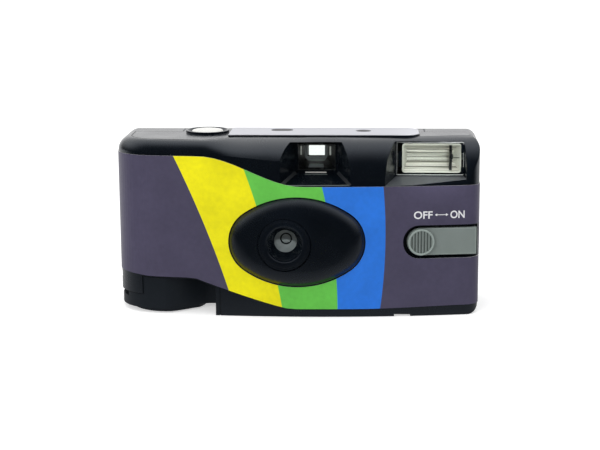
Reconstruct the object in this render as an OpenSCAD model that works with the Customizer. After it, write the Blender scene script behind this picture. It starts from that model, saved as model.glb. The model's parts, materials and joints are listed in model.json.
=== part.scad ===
// Disposable 35 mm film camera with flash, built from separate named parts.
// Millimetres. X runs to the viewer's right, Y runs to the back, Z is up, base at z = 0.

/* [Body] */
// Width of the body from end to end
body_w = 118; // [116:0.5:122]
// Height of the top face above the base
body_h = 57; // [56.5:0.5:60]
// Depth of the body from front to back
body_d = 33; // [32.5:0.5:35]
// Radius of the front face in plan
front_r = 320; // [280:10:400]
// Wall thickness of the covers
wall = 1.5; // [1.3:0.1:1.6]
// Plan radius of the front left corner
left_corner_r = 13; // [12:0.5:14]
// Plan radius of the front right corner
right_corner_r = 5; // [4:0.5:6]
// Plan radius of the rear corners
rear_corner_r = 3; // [2.5:0.5:4]
// Radius of the top front edge at the left end
sweep_small = 4.4; // [3.5:0.1:5]
// Radius of the top front edge over the lens and flash
sweep_large = 13; // [12:0.5:13.5]
// Clearance between fixed neighbours
gap = 0.15; // [0.1:0.05:0.2]

/* [Lens] */
// Lens axis from the middle of the body
lens_x = -3.5; // [-4.5:0.5:-2.5]
// Lens axis above the base
lens_z = 24.4; // [24.2:0.1:24.8]
// Half width of the oval boss
oval_a = 21.75; // [21:0.25:23]
// Half height of the oval boss
oval_b = 14.4; // [13.9:0.1:14.9]
// How far the oval boss stands out at its middle
boss_proud = 3.8; // [3.4:0.1:4.2]
// Radius of the rounded rim of the oval boss
boss_round = 7; // [6:0.25:8]
// Radius of the ring that holds the lens
retainer_r = 8.5; // [8:0.1:9]

/* [Film] */
// Radius of the film cartridge
cart_r = 12.5; // [12.4:0.1:12.6]
// Length of the cartridge can
cart_len = 44; // [43:0.5:44]
// How far the winding wheel stands out at the back
wheel_proud = 0.65; // [0.4:0.05:0.8]
// Thickness of the winding wheel
wheel_t = 3.6; // [3:0.2:4]

/* [Controls] */
// Radius of the release button
button_r = 5.3; // [4.8:0.1:5.6]
// Travel of the release button
button_travel = 1.2; // [0.8:0.1:1.4]
// Height of the sliding flash switch
switch_h = 8.9; // [8.1:0.2:9.7]
// Travel of the flash switch
switch_travel = 10; // [8:0.5:10.5]

/* [Hidden] */
$fn = 64;
half_w = body_w / 2;
origin_ahead = 0.475;
front_y = body_d / 2 - origin_ahead;
rear_y = body_d - front_y;
front_c = front_r - front_y;
parting_y = rear_y - 8.5;
edge_r = 3.2;
label_t = 0.2;
sweep_from = -31;
sweep_to = 2;
sweep_deep = 12;
sweep_mid = 6.6;
sweep_end = 22;
top_in = body_h - wall;

// oval boss round the lens
oval_x = lens_x + 3.8;
oval_z = lens_z + 0.2;
oval_end = 0.505 * oval_a;
oval_cx = oval_a - oval_end;
oval_big = (oval_b * oval_b + oval_cx * oval_cx - oval_end * oval_end) / (2 * (oval_b - oval_end));
boss_crown = 0.4;
boss_back = -front_y + 3;
rim_a = acos(1 - (boss_proud - boss_crown - label_t) / boss_round);
rim_w = boss_round * sin(rim_a);
ring_front = front_y + boss_proud - 0.3;

// film path
film_y = rear_y - 4;
cart_x = -half_w + 17;
cart_y = rear_y - 0.85 - 0.4 - cart_r;
chamber_in = cart_r + 0.4;
chamber_out = chamber_in + 0.8;
door_in = chamber_out + 0.4;
door_out = door_in + 1.4;
cart_low = lens_z - cart_len / 2;
cart_top = lens_z + cart_len / 2;
film_w = 35;
film_low = lens_z - film_w / 2;
film_top = lens_z + film_w / 2;
roll_r = 9.6;
roll_x = half_w - 28;
roll_y = film_y - 0.2 - roll_r;
roll_in = 10.4;
roll_out = 11;
sprocket_r = 6.05;
sprocket_x = -20.5;
sprocket_y = film_y - sprocket_r;
sprocket_z = film_top - 4.1;
deck_z = film_top + 1.6;

// winding wheel
wheel_r = rear_y + wheel_proud - cart_y;
wheel_z = cart_top + 1.2;
wheel_top = wheel_z + wheel_t;

// release button and collar
button_x = -30.4;
button_y = rear_y - 9.4;
collar_r = 7.2;
collar_h = 0.8;
plateau_h = 0.4;
tongue_x0 = button_x - collar_r - 1;
tongue_x1 = 41.5;
tongue_y = rear_y - 1.8;

// top windows
counter_x = -10.5;
counter_y = rear_y - 10.5;
count_win_x = counter_x + 4.9;
count_win_y = counter_y + 2.3;
lamp_x = 21.5;
lamp_y = rear_y - 10;

// viewfinder
finder_y = -3.5;
finder_x0 = -0.2;
finder_x1 = 13;
finder_z0 = 45.6;
finder_z1 = body_h - 1.3;
eye_x = 5.75;
eye_z = 49.7;

// flash head
flash_y = -5.5;
flash_x0 = half_w - 27;
flash_x1 = half_w - 4.8;
flash_z0 = 44.5;
flash_z1 = body_h - 1.1;
flash_mid = (flash_z0 + flash_z1) / 2;

// flash switch
switch_x = half_w - 12.2;
switch_z = 24.5;
switch_a = asin(switch_x / front_r);
pocket_d = 2.3;
slot_h = switch_h + 1.5;
slot_round = slot_h / 2 - 0.2;

// film door
foot_x = cart_x + door_out + 0.3;
seam_x = foot_x + 1.5;
tab_x = cart_x - 8.5;
tab_z = 6.3;
hinge_x = -half_w + 1.5;
hinge_z = 4.8;
hinge_y = 4.5;
pin_r = 0.7;
knuckle_r = 1.1;
ear_y = 2.1;
ear_t = 1.8;
door_low = 0.4;
door_step = 1.5;
door_floor = 1.9;
door_back = 1;
flow_from = cart_x - 1.5;
flow_len = 15.2;
flow_deep = 7.65;

// battery
cell_r = 5.25;
cell_len = 44.5;
cell_x0 = -22.4;
cell_y = -front_y + wall + 0.7 + cell_r + 0.75;
cell_z = wall + 0.6 + cell_r;

black = "#191c20";
frame_black = "#24272b";

// shared curves

function clamp01(t) = min(1, max(0, t));
function unit(a) = [cos(a), sin(a)];
function ease(t) = clamp01(t) * clamp01(t) * (3 - 2 * clamp01(t));
function front_at(x) = front_c - sqrt(front_r * front_r - x * x);
function sweep_r(x) = sweep_small + (sweep_mid - sweep_small) * ease((x - sweep_from) / 31)
    + (sweep_large - sweep_mid) * ease((x + 2) / 18);
function label_dip(x) = ease((x - sweep_from) / (sweep_to - sweep_from));
function sweep_d(x) = sweep_small + (sweep_deep - sweep_small) * ease((x - sweep_from) / 13)
    + (sweep_large - sweep_deep) * ease((x - sweep_to) / 12 + 1);
function sweep_flat(x) = 0.35 * ease((x - sweep_from) / 10) * (1 - ease((x - sweep_to) / 18));
function label_high(x) = body_h - sweep_small - 0.35 - (sweep_large - sweep_small + 0.95) * label_dip(x);
function label_low(x) = 2.6 + 9.8 * pow(clamp01((-2 - x) / 31.1), 1.14) + 0.75 * ease((x - 20) / 36)
    + 0.7 * ease((-46 - x) / 10);
function door_line(x) = label_low(x) - 0.35;
function door_front(x) = front_at(flow_from) + 0.2 + flow_deep * ease((x - flow_from) / flow_len);
function arc(c, r, a0, a1, n) = [for (k = [0:n]) c + r * unit(a0 + (a1 - a0) * k / n)];
function corner_c(r) = [half_w - r, front_c - sqrt(pow(front_r - r, 2) - pow(half_w - r, 2))];
function corner_a(r) = atan2(corner_c(r)[1] - front_c, corner_c(r)[0]);

// outline of the body in plan, shrunk by i
function plan_points(i) = concat(
    arc(corner_c(right_corner_r), right_corner_r - i, corner_a(right_corner_r), 0, 10),
    arc([half_w - rear_corner_r, rear_y - rear_corner_r], rear_corner_r - i, 0, 90, 6),
    arc([rear_corner_r - half_w, rear_y - rear_corner_r], rear_corner_r - i, 90, 180, 6),
    arc([-corner_c(left_corner_r)[0], corner_c(left_corner_r)[1]], left_corner_r - i,
        180, 180 - corner_a(left_corner_r), 14),
    [for (k = [1:39])
        let (a0 = 180 - corner_a(left_corner_r), a = a0 + (360 + corner_a(right_corner_r) - a0) * k / 40)
        [0, front_c] + (front_r - i) * [cos(a), sin(a)]]);

// stations along the top edge, from the back of the left end round to the right end
function edge_stations() = let (c = corner_c(left_corner_r), turn = -corner_a(left_corner_r))
    concat([[[-half_w, rear_y + 20], 180]],
        [for (k = [0:14]) let (a = 180 + turn * k / 14) [[-c[0], c[1]] + left_corner_r * [cos(a), sin(a)], a]],
        [for (x = concat([-44, -41], [for (x = [sweep_from:2:sweep_end]) x],
            [for (k = [1:6]) sweep_end + (half_w + 3 - sweep_end) * k / 6]))
            [[x, front_at(x)], 270 + asin(x / front_r)]]);

// one slice of the material taken off the top edge
function edge_slice(station, i, n) =
    let (p = station[0], out = unit(station[1]), r = sweep_r(p[0]), q = r - i, z0 = body_h - r,
        d = sweep_d(p[0]), e = d - i, flat = sweep_flat(p[0]),
        low = [e * cos(4) - d, z0 + q * sin(4)], high = [e * cos(86) - d, z0 + q * sin(86)])
    [for (h = concat([for (k = [0:n]) let (a = 4 + 82 * k / n)
            (1 - flat) * [e * cos(a) - d, z0 + q * sin(a)] + flat * (low + (high - low) * k / n)],
        [[high[0], body_h + 3], [6, body_h + 3], [6, low[1]]]))
        [p[0] + h[0] * out[0], p[1] + h[0] * out[1], h[1]]];

module sweep_cut(i, n) {
    stations = edge_stations();
    m = n + 4;
    last = len(stations) - 1;
    polyhedron(
        points = [for (s = stations) for (p = edge_slice(s, i, n)) p],
        faces = concat(
            [[for (k = [0:m - 1]) k]],
            [[for (k = [m - 1:-1:0]) last * m + k]],
            [for (j = [0:last - 1]) for (k = [0:m - 1]) [j * m + (k + 1) % m, j * m + k, (j + 1) * m + k]],
            [for (j = [0:last - 1]) for (k = [0:m - 1])
                [j * m + (k + 1) % m, (j + 1) * m + k, (j + 1) * m + (k + 1) % m]]));
}

// rounds the upper or lower edge of the right end
module edge_cut(i, up) {
    e = edge_r - i;
    cx = half_w - edge_r;
    cz = up > 0 ? body_h - edge_r : edge_r;
    pts = concat([for (k = [0:6]) let (a = 4 + 82 * k / 6) [cx + e * cos(a), cz + up * e * sin(a)]],
        [[cx + e * cos(86), cz + up * (edge_r + 4)], [half_w + 4, cz + up * (edge_r + 4)],
            [half_w + 4, cz + up * e * sin(4)]]);
    rotate([90, 0, 0]) linear_extrude(90, center = true) polygon(pts);
}

// the whole body as one block, shrunk by i
module solid_body(i, n) {
    difference() {
        translate([0, 0, i]) linear_extrude(body_h - 2 * i) polygon(plan_points(i));
        sweep_cut(i, n);
        edge_cut(i, 1);
        edge_cut(i, -1);
    }
}

// a block with sloping sides, from a back rectangle to a front one
module funnel(back, front, y_back, y_front) {
    polyhedron(
        points = [[back[0], y_back, back[2]], [back[1], y_back, back[2]],
            [back[1], y_back, back[3]], [back[0], y_back, back[3]],
            [front[0], y_front, front[2]], [front[1], y_front, front[3]],
            [front[1], y_front, front[4]], [front[0], y_front, front[4]]],
        faces = [[0, 1, 2, 3], [4, 7, 6, 5], [1, 0, 4], [1, 4, 5], [0, 3, 7, 4], [2, 1, 5, 6], [3, 2, 6, 7]]);
}

module block(x0, x1, y0, y1, z0, z1) {
    translate([x0, y0, z0]) cube([x1 - x0, y1 - y0, z1 - z0]);
}

module rod_y(x, z, r, y0, y1) {
    translate([x, y1, z]) rotate([90, 0, 0]) cylinder(r = r, h = y1 - y0);
}

module rod_x(y, z, r, x0, x1) {
    translate([x0, y, z]) rotate([0, 90, 0]) cylinder(r = r, h = x1 - x0);
}

module rod_z(x, y, r, z0, z1) {
    translate([x, y, z0]) cylinder(r = r, h = z1 - z0);
}

// a rectangle with round corners
module round_rect(w, h, r) {
    square([w - 2 * r, h], center = true);
    square([w, h - 2 * r], center = true);
    for (sx = [-1, 1]) for (sy = [-1, 1]) translate([sx * (w / 2 - r), sy * (h / 2 - r)]) circle(r = r);
}

// oval from four arcs, grown by d
module oval(d) {
    tx = oval_cx * (oval_big + d) / (oval_big - oval_end);
    for (s = [-1, 1]) translate([s * oval_cx, 0]) circle(r = oval_end + d);
    intersection() {
        translate([0, oval_b - oval_big]) circle(r = oval_big + d, $fn = 128);
        translate([0, oval_big - oval_b]) circle(r = oval_big + d, $fn = 128);
        square([2 * tx, 4 * oval_b], center = true);
    }
}

module oval_bar(d, y0, y1) {
    translate([oval_x, y1, oval_z]) rotate([90, 0, 0]) linear_extrude(y1 - y0) oval(d);
}

// points round the oval, 18 to each arc
function oval_points() = let (turn = atan2(oval_big - oval_b, oval_cx), n = 18) concat(
    [for (k = [0:n - 1]) [oval_cx, 0] + oval_end * unit(-turn + 2 * turn * k / n)],
    [for (k = [0:n - 1]) [0, oval_b - oval_big] + oval_big * unit(turn + (180 - 2 * turn) * k / n)],
    [for (k = [0:n - 1]) [-oval_cx, 0] + oval_end * unit(180 - turn + 2 * turn * k / n)],
    [for (k = [0:n - 1]) [0, oval_big - oval_b] + oval_big * unit(180 + turn + (180 - 2 * turn) * k / n)]);

// height of the boss over the front face, at a way in from the rim and a share of the half width
function boss_height(inset, share) =
    let (t = max(0, 1 - inset / rim_w) * sin(rim_a))
    boss_proud - boss_crown * share * share - boss_round * (1 - sqrt(1 - t * t));

// boss with a rounded rim and a low crown, as rings of points that close in on its middle
module oval_boss() {
    rim = oval_points();
    m = len(rim);
    insets = concat([for (k = [0:9]) rim_w * k / 9], [rim_w + 1.5, rim_w + 3.5]);
    last = len(insets) - 1;
    ring_points = [for (d = insets) for (p = rim)
        let (s = 1 - d / norm(p), x = oval_x + p[0] * s)
        [x, front_at(x) - boss_height(d, s), oval_z + p[1] * s]];
    base = [for (p = rim) [oval_x + p[0], boss_back, oval_z + p[1]]];
    middle = [oval_x, front_at(oval_x) - boss_proud, oval_z];
    polyhedron(
        points = concat(base, ring_points, [middle]),
        faces = concat(
            [[for (k = [0:m - 1]) k]],
            [for (j = [0:last]) for (k = [0:m - 1]) [j * m + (k + 1) % m, j * m + k, (j + 1) * m + k]],
            [for (j = [0:last]) for (k = [0:m - 1])
                [j * m + (k + 1) % m, (j + 1) * m + k, (j + 1) * m + (k + 1) % m]],
            [for (k = [0:m - 1])
                [(last + 1) * m + (k + 1) % m, (last + 1) * m + k, (last + 2) * m]]));
}

// door region, seen from the front, with the tab of the covers left out
module door_region(grow_right, grow_left, grow_z) {
    right = foot_x + grow_right;
    left = tab_x - grow_left;
    rotate([90, 0, 0]) linear_extrude(90, center = true)
        polygon(concat([[-half_w - 6, -2], [right, -2]],
            [for (k = [0:8]) let (x = right + (left - right) * k / 8) [x, door_line(x) + grow_z]],
            [[left, tab_z + grow_z], [-half_w - 6, tab_z + grow_z]]));
}

// plan of the door where its front flows back to the foot, moved back by d
module door_flow(d) {
    right = flow_from + flow_len + 4;
    polygon(concat([[-half_w - 20, 40], [-half_w - 20, -40], [flow_from, -40]],
        [for (k = [0:20]) let (x = flow_from + (right - flow_from) * k / 20) [x, door_front(x) + d]],
        [[right, 40]]));
}

// hollow of the door round the cartridge, square at the back where the film leaves
module door_hollow() {
    rod_z(cart_x, cart_y, cart_r + 0.25, door_floor, 22);
    intersection() {
        rod_z(cart_x, cart_y, door_in, door_floor, 22);
        block(-80, cart_x, -40, rear_y - door_back, 0, 30);
    }
    block(cart_x - door_in + 0.15, cart_x + door_in - 0.15, cart_y, rear_y - door_back, door_floor, 22);
}

module at_switch() {
    translate([switch_x, front_at(switch_x), switch_z]) rotate([0, 0, switch_a]) children();
}

// bar with rounded left end, in the switch's own frame
module switch_bar(u0, u1, h, r, v0, v1) {
    translate([0, v1, 0]) rotate([90, 0, 0]) linear_extrude(v1 - v0) {
        translate([u0 + r, -h / 2]) square([u1 - u0 - r, h]);
        translate([u0, -h / 2 + r]) square([r, h - 2 * r]);
        for (s = [-1, 1]) translate([u0 + r, s * (h / 2 - r)]) circle(r = r);
    }
}

module finder_funnel(d, y_back) {
    funnel([finder_x0 - d, finder_x1 + d, finder_z0 - d, finder_z1 + d],
        [finder_x0 - d - 5.9, finder_x1 + d + 5.9, finder_z0 - d - 3.4, finder_z0 - d - 3.4,
            finder_z1 + d + 0.6],
        y_back, -19);
}

module flash_funnel(d, y_back) {
    funnel([flash_x0 - d, flash_x1 + d, flash_z0 - d, flash_z1 + d],
        [flash_x0 - d - 5.1, flash_x1 + d + 0.9, flash_z0 - d - 2.4, flash_z0 - d + 0.2, flash_z1 + d + 0.6],
        y_back, -19);
}

module collar_tab() {
    rod_z(button_x, button_y, collar_r, body_h - wall, body_h + collar_h);
}

module plateau_2d(d) {
    difference() {
        union() {
            translate([-24, -3.1 - d]) square([tongue_x1 - 1.5 - 6 + 24, tongue_y - 0.6 + 3.1 + 2 * d]);
            translate([tongue_x1 - 8, -3.1 - d]) square([6.5 - 5 + d, tongue_y - 0.6 + 3.1 + 2 * d]);
            translate([tongue_x1 - 8, -3.1 + 5]) square([6.5 + d, tongue_y - 0.6 + 3.1 - 10]);
            translate([tongue_x1 - 6.5, -3.1 + 5]) circle(r = 5 + d);
            translate([tongue_x1 - 6.5, tongue_y - 0.6 - 5]) circle(r = 5 + d);
        }
        translate([button_x, button_y]) circle(r = collar_r + 0.3 - d);
        translate([-40, -20]) square([17.5, 60]);
    }
}

// two ears that carry the pin of the door
module door_ears() {
    difference() {
        for (y = [hinge_y - ear_y - ear_t, hinge_y + ear_y]) {
            rod_y(hinge_x, hinge_z, knuckle_r, y, y + ear_t);
            block(hinge_x - 0.9, hinge_x + 0.9, y, y + ear_t, hinge_z, tab_z + 0.7);
        }
        rod_y(hinge_x, hinge_z, pin_r, hinge_y - 6, hinge_y + 6);
    }
}

module front_cover() color(black) {
    door_ears();
    front_shell();
}

module front_shell() difference() {
    union() {
        difference() {
            intersection() {
                solid_body(0, 12);
                block(-half_w - 5, half_w + 5, -40, parting_y, -5, body_h + 5);
            }
            difference() {
                solid_body(wall, 6);
                door_region(2, 2, wall);
            }
        }
        intersection() {
            solid_body(0, 12);
            union() {
                finder_funnel(1.2, finder_y + 1.2);
                flash_funnel(1.2, flash_y + 1.2);
                at_switch() block(-14, 11, -3, pocket_d + 1.2, -slot_h / 2 - 1.2, slot_h / 2 + 1.2);
                block(tongue_x0, tongue_x1, parting_y - 2, tongue_y, body_h - wall, body_h);
            }
        }
        oval_boss();
        collar_tab();
        translate([0, 0, body_h - 0.5]) linear_extrude(plateau_h + 0.5) plateau_2d(0);
    }
    // lens, finder and flash openings
    rod_y(lens_x, lens_z, retainer_r + gap, -front_y - 6, -front_y + 8);
    difference() {
        oval_bar(-5, -front_y - boss_proud + 2.2, boss_back + 1);
        rod_y(lens_x, lens_z, retainer_r + 1.6, -front_y - 6, -front_y + 8);
    }
    finder_funnel(0, finder_y);
    block(finder_x0 + 0.5, finder_x1 - 0.5, finder_y - 1, finder_y + 2, finder_z0 + 0.4, finder_z1 - 0.5);
    flash_funnel(0, flash_y);
    block(flash_x0 + 0.2, flash_x1 - 0.2, flash_y - 1, flash_y + 2, flash_z0 + 0.2, flash_z1 - 0.2);
    block(flash_x0 + 1, flash_x1 - 1, flash_y + 1.3, flash_y + 7, flash_mid - 4.9, flash_mid + 4.85);
    // switch pocket and the slot for its stem
    at_switch() switch_bar(-12.25, 30, slot_h, slot_round, -6, pocket_d);
    at_switch() block(-10.2, -5.8 + switch_travel, 0, 6, -1.8, 1.8);
    // top openings
    rod_z(button_x, button_y, button_r + 0.25, body_h - 6, body_h + 4);
    // dish of the collar
    translate([button_x, button_y, body_h - 0.2])
        cylinder(r1 = button_r + 0.2, r2 = collar_r - 0.2, h = collar_h + 0.5);
    translate([count_win_x, count_win_y, body_h - 4]) linear_extrude(8) round_rect(7, 5, 2);
    rod_z(lamp_x, lamp_y, 2.4, body_h - 4, body_h + 4);
    // film door corner, chamber hole and base notch
    door_region(0, 0, 0);
    rod_z(cart_x, cart_y, chamber_out + 0.3, 5, 20);
    block(31.7, 36.9, -30, -front_y + 4.2, -1, 0.8);
    // pry slot at the left end, and seam beside the foot
    block(-half_w - 1, -half_w + 1.1, -3, 1.5, 9.8, 12.1);
    block(seam_x - 0.15, seam_x + 0.15, -30, front_at(seam_x) + 0.4, -1, label_low(seam_x) + 0.2);
}

module rear_cover() color(black) difference() {
    union() {
        difference() {
            intersection() {
                solid_body(0, 12);
                block(-half_w - 5, half_w + 5, parting_y, 40, -5, body_h + 5);
            }
            difference() {
                solid_body(wall, 6);
                door_region(2, 2, wall);
            }
        }
        // pad that keeps the film flat
        block(lens_x - 17, lens_x + 17, film_y + 0.4, rear_y - 1, lens_z - 12.5, lens_z + 12.3);
    }
    block(tongue_x0 - gap, tongue_x1 + gap, parting_y - 1, tongue_y + gap, body_h - wall - gap, body_h + 2);
    // eyepiece, winding slot and thumb hollow
    block(eye_x - 2.8, eye_x + 2.8, rear_y - 3, rear_y + 2, eye_z - 1.7, eye_z + 1.7);
    funnel([eye_x - 5, eye_x + 5, eye_z - 3.9, eye_z + 3.9],
        [eye_x - 2.8, eye_x + 2.8, eye_z - 1.7, eye_z - 1.7, eye_z + 1.7], rear_y + 0.6, rear_y - 0.8);
    block(cart_x - 10.6, cart_x + 10.6, rear_y - 5, rear_y + 2, wheel_z - 0.5, wheel_top + 0.5);
    rod_x(rear_y + 8.2, wheel_z + wheel_t / 2, 9.2, cart_x - 12.5, cart_x + 12.5);
    // cartridge and chamber clearance
    rod_z(cart_x, cart_y, chamber_in, -2, cart_top + 0.8);
    intersection() {
        rod_z(cart_x, cart_y, chamber_out + 0.3, 5, 20);
        block(-80, 80, -40, rear_y - 0.85, 0, 30);
    }
    rod_z(button_x, button_y, collar_r + gap, body_h - wall - gap, body_h + 3);
    // way for the film and the lip of the cartridge
    block(cart_x + 5, foot_x + 3, film_y - 1.9, film_y + 1.5, cart_low + 1.4, door_line(cart_x) + wall + 0.5);
    door_region(0, 0, 0);
}

module film_chassis() color(frame_black) difference() {
    union() {
        // cartridge chamber
        difference() {
            rod_z(cart_x, cart_y, chamber_out, door_line(-50) + 0.4, cart_top + 0.9);
            rod_z(cart_x, cart_y, chamber_in, -1, cart_top + 0.3);
            rod_z(cart_x, cart_y, 6.4, cart_top - 1, cart_top + 2);
        }
        // supply chamber
        difference() {
            rod_z(roll_x, roll_y, roll_out, film_low - 1.4, deck_z);
            rod_z(roll_x, roll_y, roll_in, film_low - 0.6, film_top + 0.6);
        }
        // film gate and dark tunnel
        block(cart_x + chamber_out - 1, roll_x - roll_out + 2, film_y - 1.5, film_y - 0.3,
            film_low - 1.4, deck_z);
        difference() {
            funnel([lens_x - 19, lens_x + 19, lens_z - 13, lens_z + 12.9],
                [lens_x - 8, lens_x + 8, lens_z - 7, lens_z - 7, lens_z + 7], film_y - 1, -6.2);
            funnel([lens_x - 18, lens_x + 18, lens_z - 12, lens_z + 12],
                [lens_x - 7, lens_x + 7, lens_z - 6, lens_z - 6, lens_z + 6], film_y, -5.4);
        }
        block(lens_x - 11, lens_x + 11, -6.6, -5.4, lens_z - 10, lens_z + 10);
        // mechanism deck with its posts
        block(cart_x + chamber_out - 1, roll_x - roll_out + 3, -2.5, film_y - 0.3, deck_z, deck_z + 1);
        block(-28, -12, -7, -2, deck_z, deck_z + 1);
        rod_z(-13.5, -0.5, 1, deck_z, deck_z + 4);
        rod_z(-20, -3.5, 1, deck_z, deck_z + 5.6);
        rod_z(counter_x, counter_y, 1.2, deck_z, top_in - 2.2);
        // viewfinder tube
        funnel([eye_x - 3.8, eye_x + 3.8, eye_z - 2.7, eye_z + 2.7],
            [finder_x0 - 0.3, finder_x1 + 0.3, deck_z + 0.9, deck_z + 0.9, finder_z1 - 0.4],
            rear_y - 3.1, finder_y + 1.6);
        block(finder_x0 + 3, finder_x1 - 3, -2.4, film_y - 0.6, deck_z + 0.5, deck_z + 2.6);
    }
    // light path of the viewfinder
    funnel([eye_x - 3, eye_x + 3, eye_z - 1.9, eye_z + 1.9],
        [finder_x0 + 0.5, finder_x1 - 0.5, finder_z0 + 1, finder_z0 + 1, finder_z1 - 1.2],
        rear_y - 2.5, finder_y + 1);
    // film gate, lens hole and film slots
    block(lens_x - 18, lens_x + 18, film_y - 2, film_y + 1, lens_z - 12, lens_z + 12);
    rod_y(lens_x, lens_z, 5, -8, -4);
    block(-100, 100, rear_y - wall - 0.25, 40, -5, 80);
    block(cart_x + 5, cart_x + 20, cart_y + 6.5, 40, film_low - 3, cart_top + 0.2);
    block(roll_x - 20, roll_x - 2, film_y - 0.6, film_y + 1.4, film_low - 0.6, film_top + 0.6);
    // room for the finder and the flash head
    finder_funnel(1.2 + gap, finder_y + 1.2 + gap);
    flash_funnel(1.2 + gap, flash_y + 1.2 + gap);
    block(flash_x0 - 1.4, flash_x1 + 1.4, flash_y - 1, flash_y + 9.4, flash_mid - 5.6, body_h);
    // sprocket window and shaft hole
    block(sprocket_x - 7.4, sprocket_x + 7.4, film_y - 4, film_y + 3, sprocket_z - 0.7, sprocket_z + 2.5);
    rod_z(sprocket_x, sprocket_y, 1.6, deck_z - 3, deck_z + 3);
}

module front_label() color("#4e4a61") difference() {
    intersection() {
        difference() {
            translate([0, 0, 1]) linear_extrude(body_h) polygon(plan_points(-label_t));
            linear_extrude(body_h + 3) polygon(plan_points(0));
        }
        block(-80, 80, -40, parting_y - 0.4, 0, 80);
        rotate([90, 0, 0]) linear_extrude(90, center = true)
            polygon(concat([for (k = [0:40]) let (x = -65 + 130 * k / 40) [x, label_low(x)]],
                [for (k = [40:-1:0]) let (x = -65 + 130 * k / 40) [x, label_high(x)]]));
    }
    oval_bar(0.35, -30, 0);
    at_switch() switch_bar(-12.5, 30, slot_h + 0.5, slot_round + 0.25, -6, 4);
}

module rear_label() color("#d8d9dd")
    translate([0, rear_y + label_t, lens_z + 1.6]) rotate([90, 0, 0]) linear_extrude(label_t) difference() {
        round_rect(body_w - 10, 36, 3);
        translate([-half_w, -40]) square([half_w + foot_x + 1.5, 40 - 12.6]);
    }

module top_label() color("#d4d5da") translate([0, 0, body_h + plateau_h]) linear_extrude(label_t) difference() {
    plateau_2d(-0.4);
    translate([count_win_x, count_win_y]) round_rect(7.2, 5.2, 2.1);
    translate([lamp_x, lamp_y]) circle(r = 2.5);
}

module lens_retainer() color("#1d2024") translate([lens_x, 0, lens_z]) rotate([90, 0, 0]) rotate_extrude()
    polygon([[4.4, 10.4], [retainer_r, 10.4], [retainer_r, ring_front - 0.3], [retainer_r - 0.3, ring_front],
        [6.5, ring_front], [5.4, ring_front - 0.9], [3.6, 13], [4.4, 12.9]]);

module taking_lens() color("#3a4650") translate([lens_x, 0, lens_z]) rotate([90, 0, 0]) intersection() {
    translate([0, 0, 10.6]) cylinder(r = 4.3, h = 3);
    translate([0, 0, 12.8 - 12]) sphere(r = 12);
}

module aperture_plate() color("#2b2d30") difference() {
    union() {
        block(lens_x - 11, lens_x + 11, -9.4, -8.4, lens_z - 9, lens_z + 10);
        rod_y(lens_x, lens_z, 7.4, -10.4, -9.2);
        rod_y(lens_x - 6.5, lens_z + 5.5, 0.8, -9, -6.7);
    }
    rod_y(lens_x, lens_z, 5.6, -11, -9);
    rod_y(lens_x, lens_z, 1.5, -11, -8);
}

module shutter_blade() color("#5b5f63") difference() {
    union() {
        rod_y(lens_x, lens_z, 3.6, -8.1, -7.8);
        rod_y(lens_x - 6.5, lens_z + 5.5, 2, -8.1, -7.8);
        translate([lens_x - 6.5, -8.1, lens_z + 5.5]) rotate([0, 40.2, 0]) block(0, 8.5, 0, 0.3, -1.6, 1.6);
        block(lens_x - 7.5, lens_x - 5.5, -8.1, -7.8, lens_z + 5.5, deck_z + 0.8);
    }
    rod_y(lens_x - 6.5, lens_z + 5.5, 0.86, -9, -7);
}

module shutter_spring() color("#b9bcc0") translate([lens_x - 6.5, -7.2, lens_z + 5.5]) rotate([90, 0, 0]) {
    rotate_extrude() translate([1.4, 0]) circle(r = 0.2, $fn = 16);
    rotate([0, 0, 200]) translate([1.35, 0, 0]) rotate([-90, 0, 0]) cylinder(r = 0.2, h = 4, $fn = 16);
}

module lever_bar(x0, y0, x1, y1, w, z0, z1) {
    translate([x0, y0, z0]) rotate([0, 0, atan2(y1 - y0, x1 - x0)])
        translate([0, -w / 2, 0]) cube([norm([x1 - x0, y1 - y0]), w, z1 - z0]);
}

module striker_lever() color("#8b8f94") difference() {
    union() {
        rod_z(-13.5, -0.5, 2.2, deck_z + 1.4, deck_z + 2.6);
        lever_bar(-13.5, -0.5, -8, -8, 1.8, deck_z + 1.4, deck_z + 2.6);
        lever_bar(-13.5, -0.5, -16.6, 2.6, 1.8, deck_z + 1.4, deck_z + 2.6);
        rod_z(-8, -8, 0.6, deck_z - 0.6, deck_z + 2.6);
    }
    rod_z(-13.5, -0.5, 1.06, deck_z, deck_z + 6);
}

module striker_spring() color("#b9bcc0") for (k = [0:2])
    translate([-13.5, -0.5, deck_z + 2.9 + 0.38 * k]) rotate_extrude()
        translate([1.45, 0]) circle(r = 0.2, $fn = 16);

module metering_lever() color("#e3e4e2") difference() {
    union() {
        rod_z(-20, -3.5, 2.2, deck_z + 4.2, deck_z + 5.2);
        lever_bar(-20, -3.5, -24.6, 3.5, 1.8, deck_z + 4.2, deck_z + 5.2);
        lever_bar(-20, -3.5, -16.5, -5.5, 1.8, deck_z + 4.2, deck_z + 5.2);
    }
    rod_z(-20, -3.5, 1.06, deck_z, deck_z + 8);
}

module sprocket_wheel() color("#e3e4e2") translate([sprocket_x, sprocket_y, 0]) {
    difference() {
        union() {
            rod_z(0, 0, 5.3, sprocket_z, sprocket_z + 1.8);
            for (k = [0:7]) rotate([0, 0, 22.5 + 45 * k])
                block(4.6, 6.6, -0.7, 0.7, sprocket_z + 0.2, sprocket_z + 1.6);
            rod_z(0, 0, 1.5, sprocket_z - 0.6, deck_z + 2);
        }
    }
}

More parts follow.
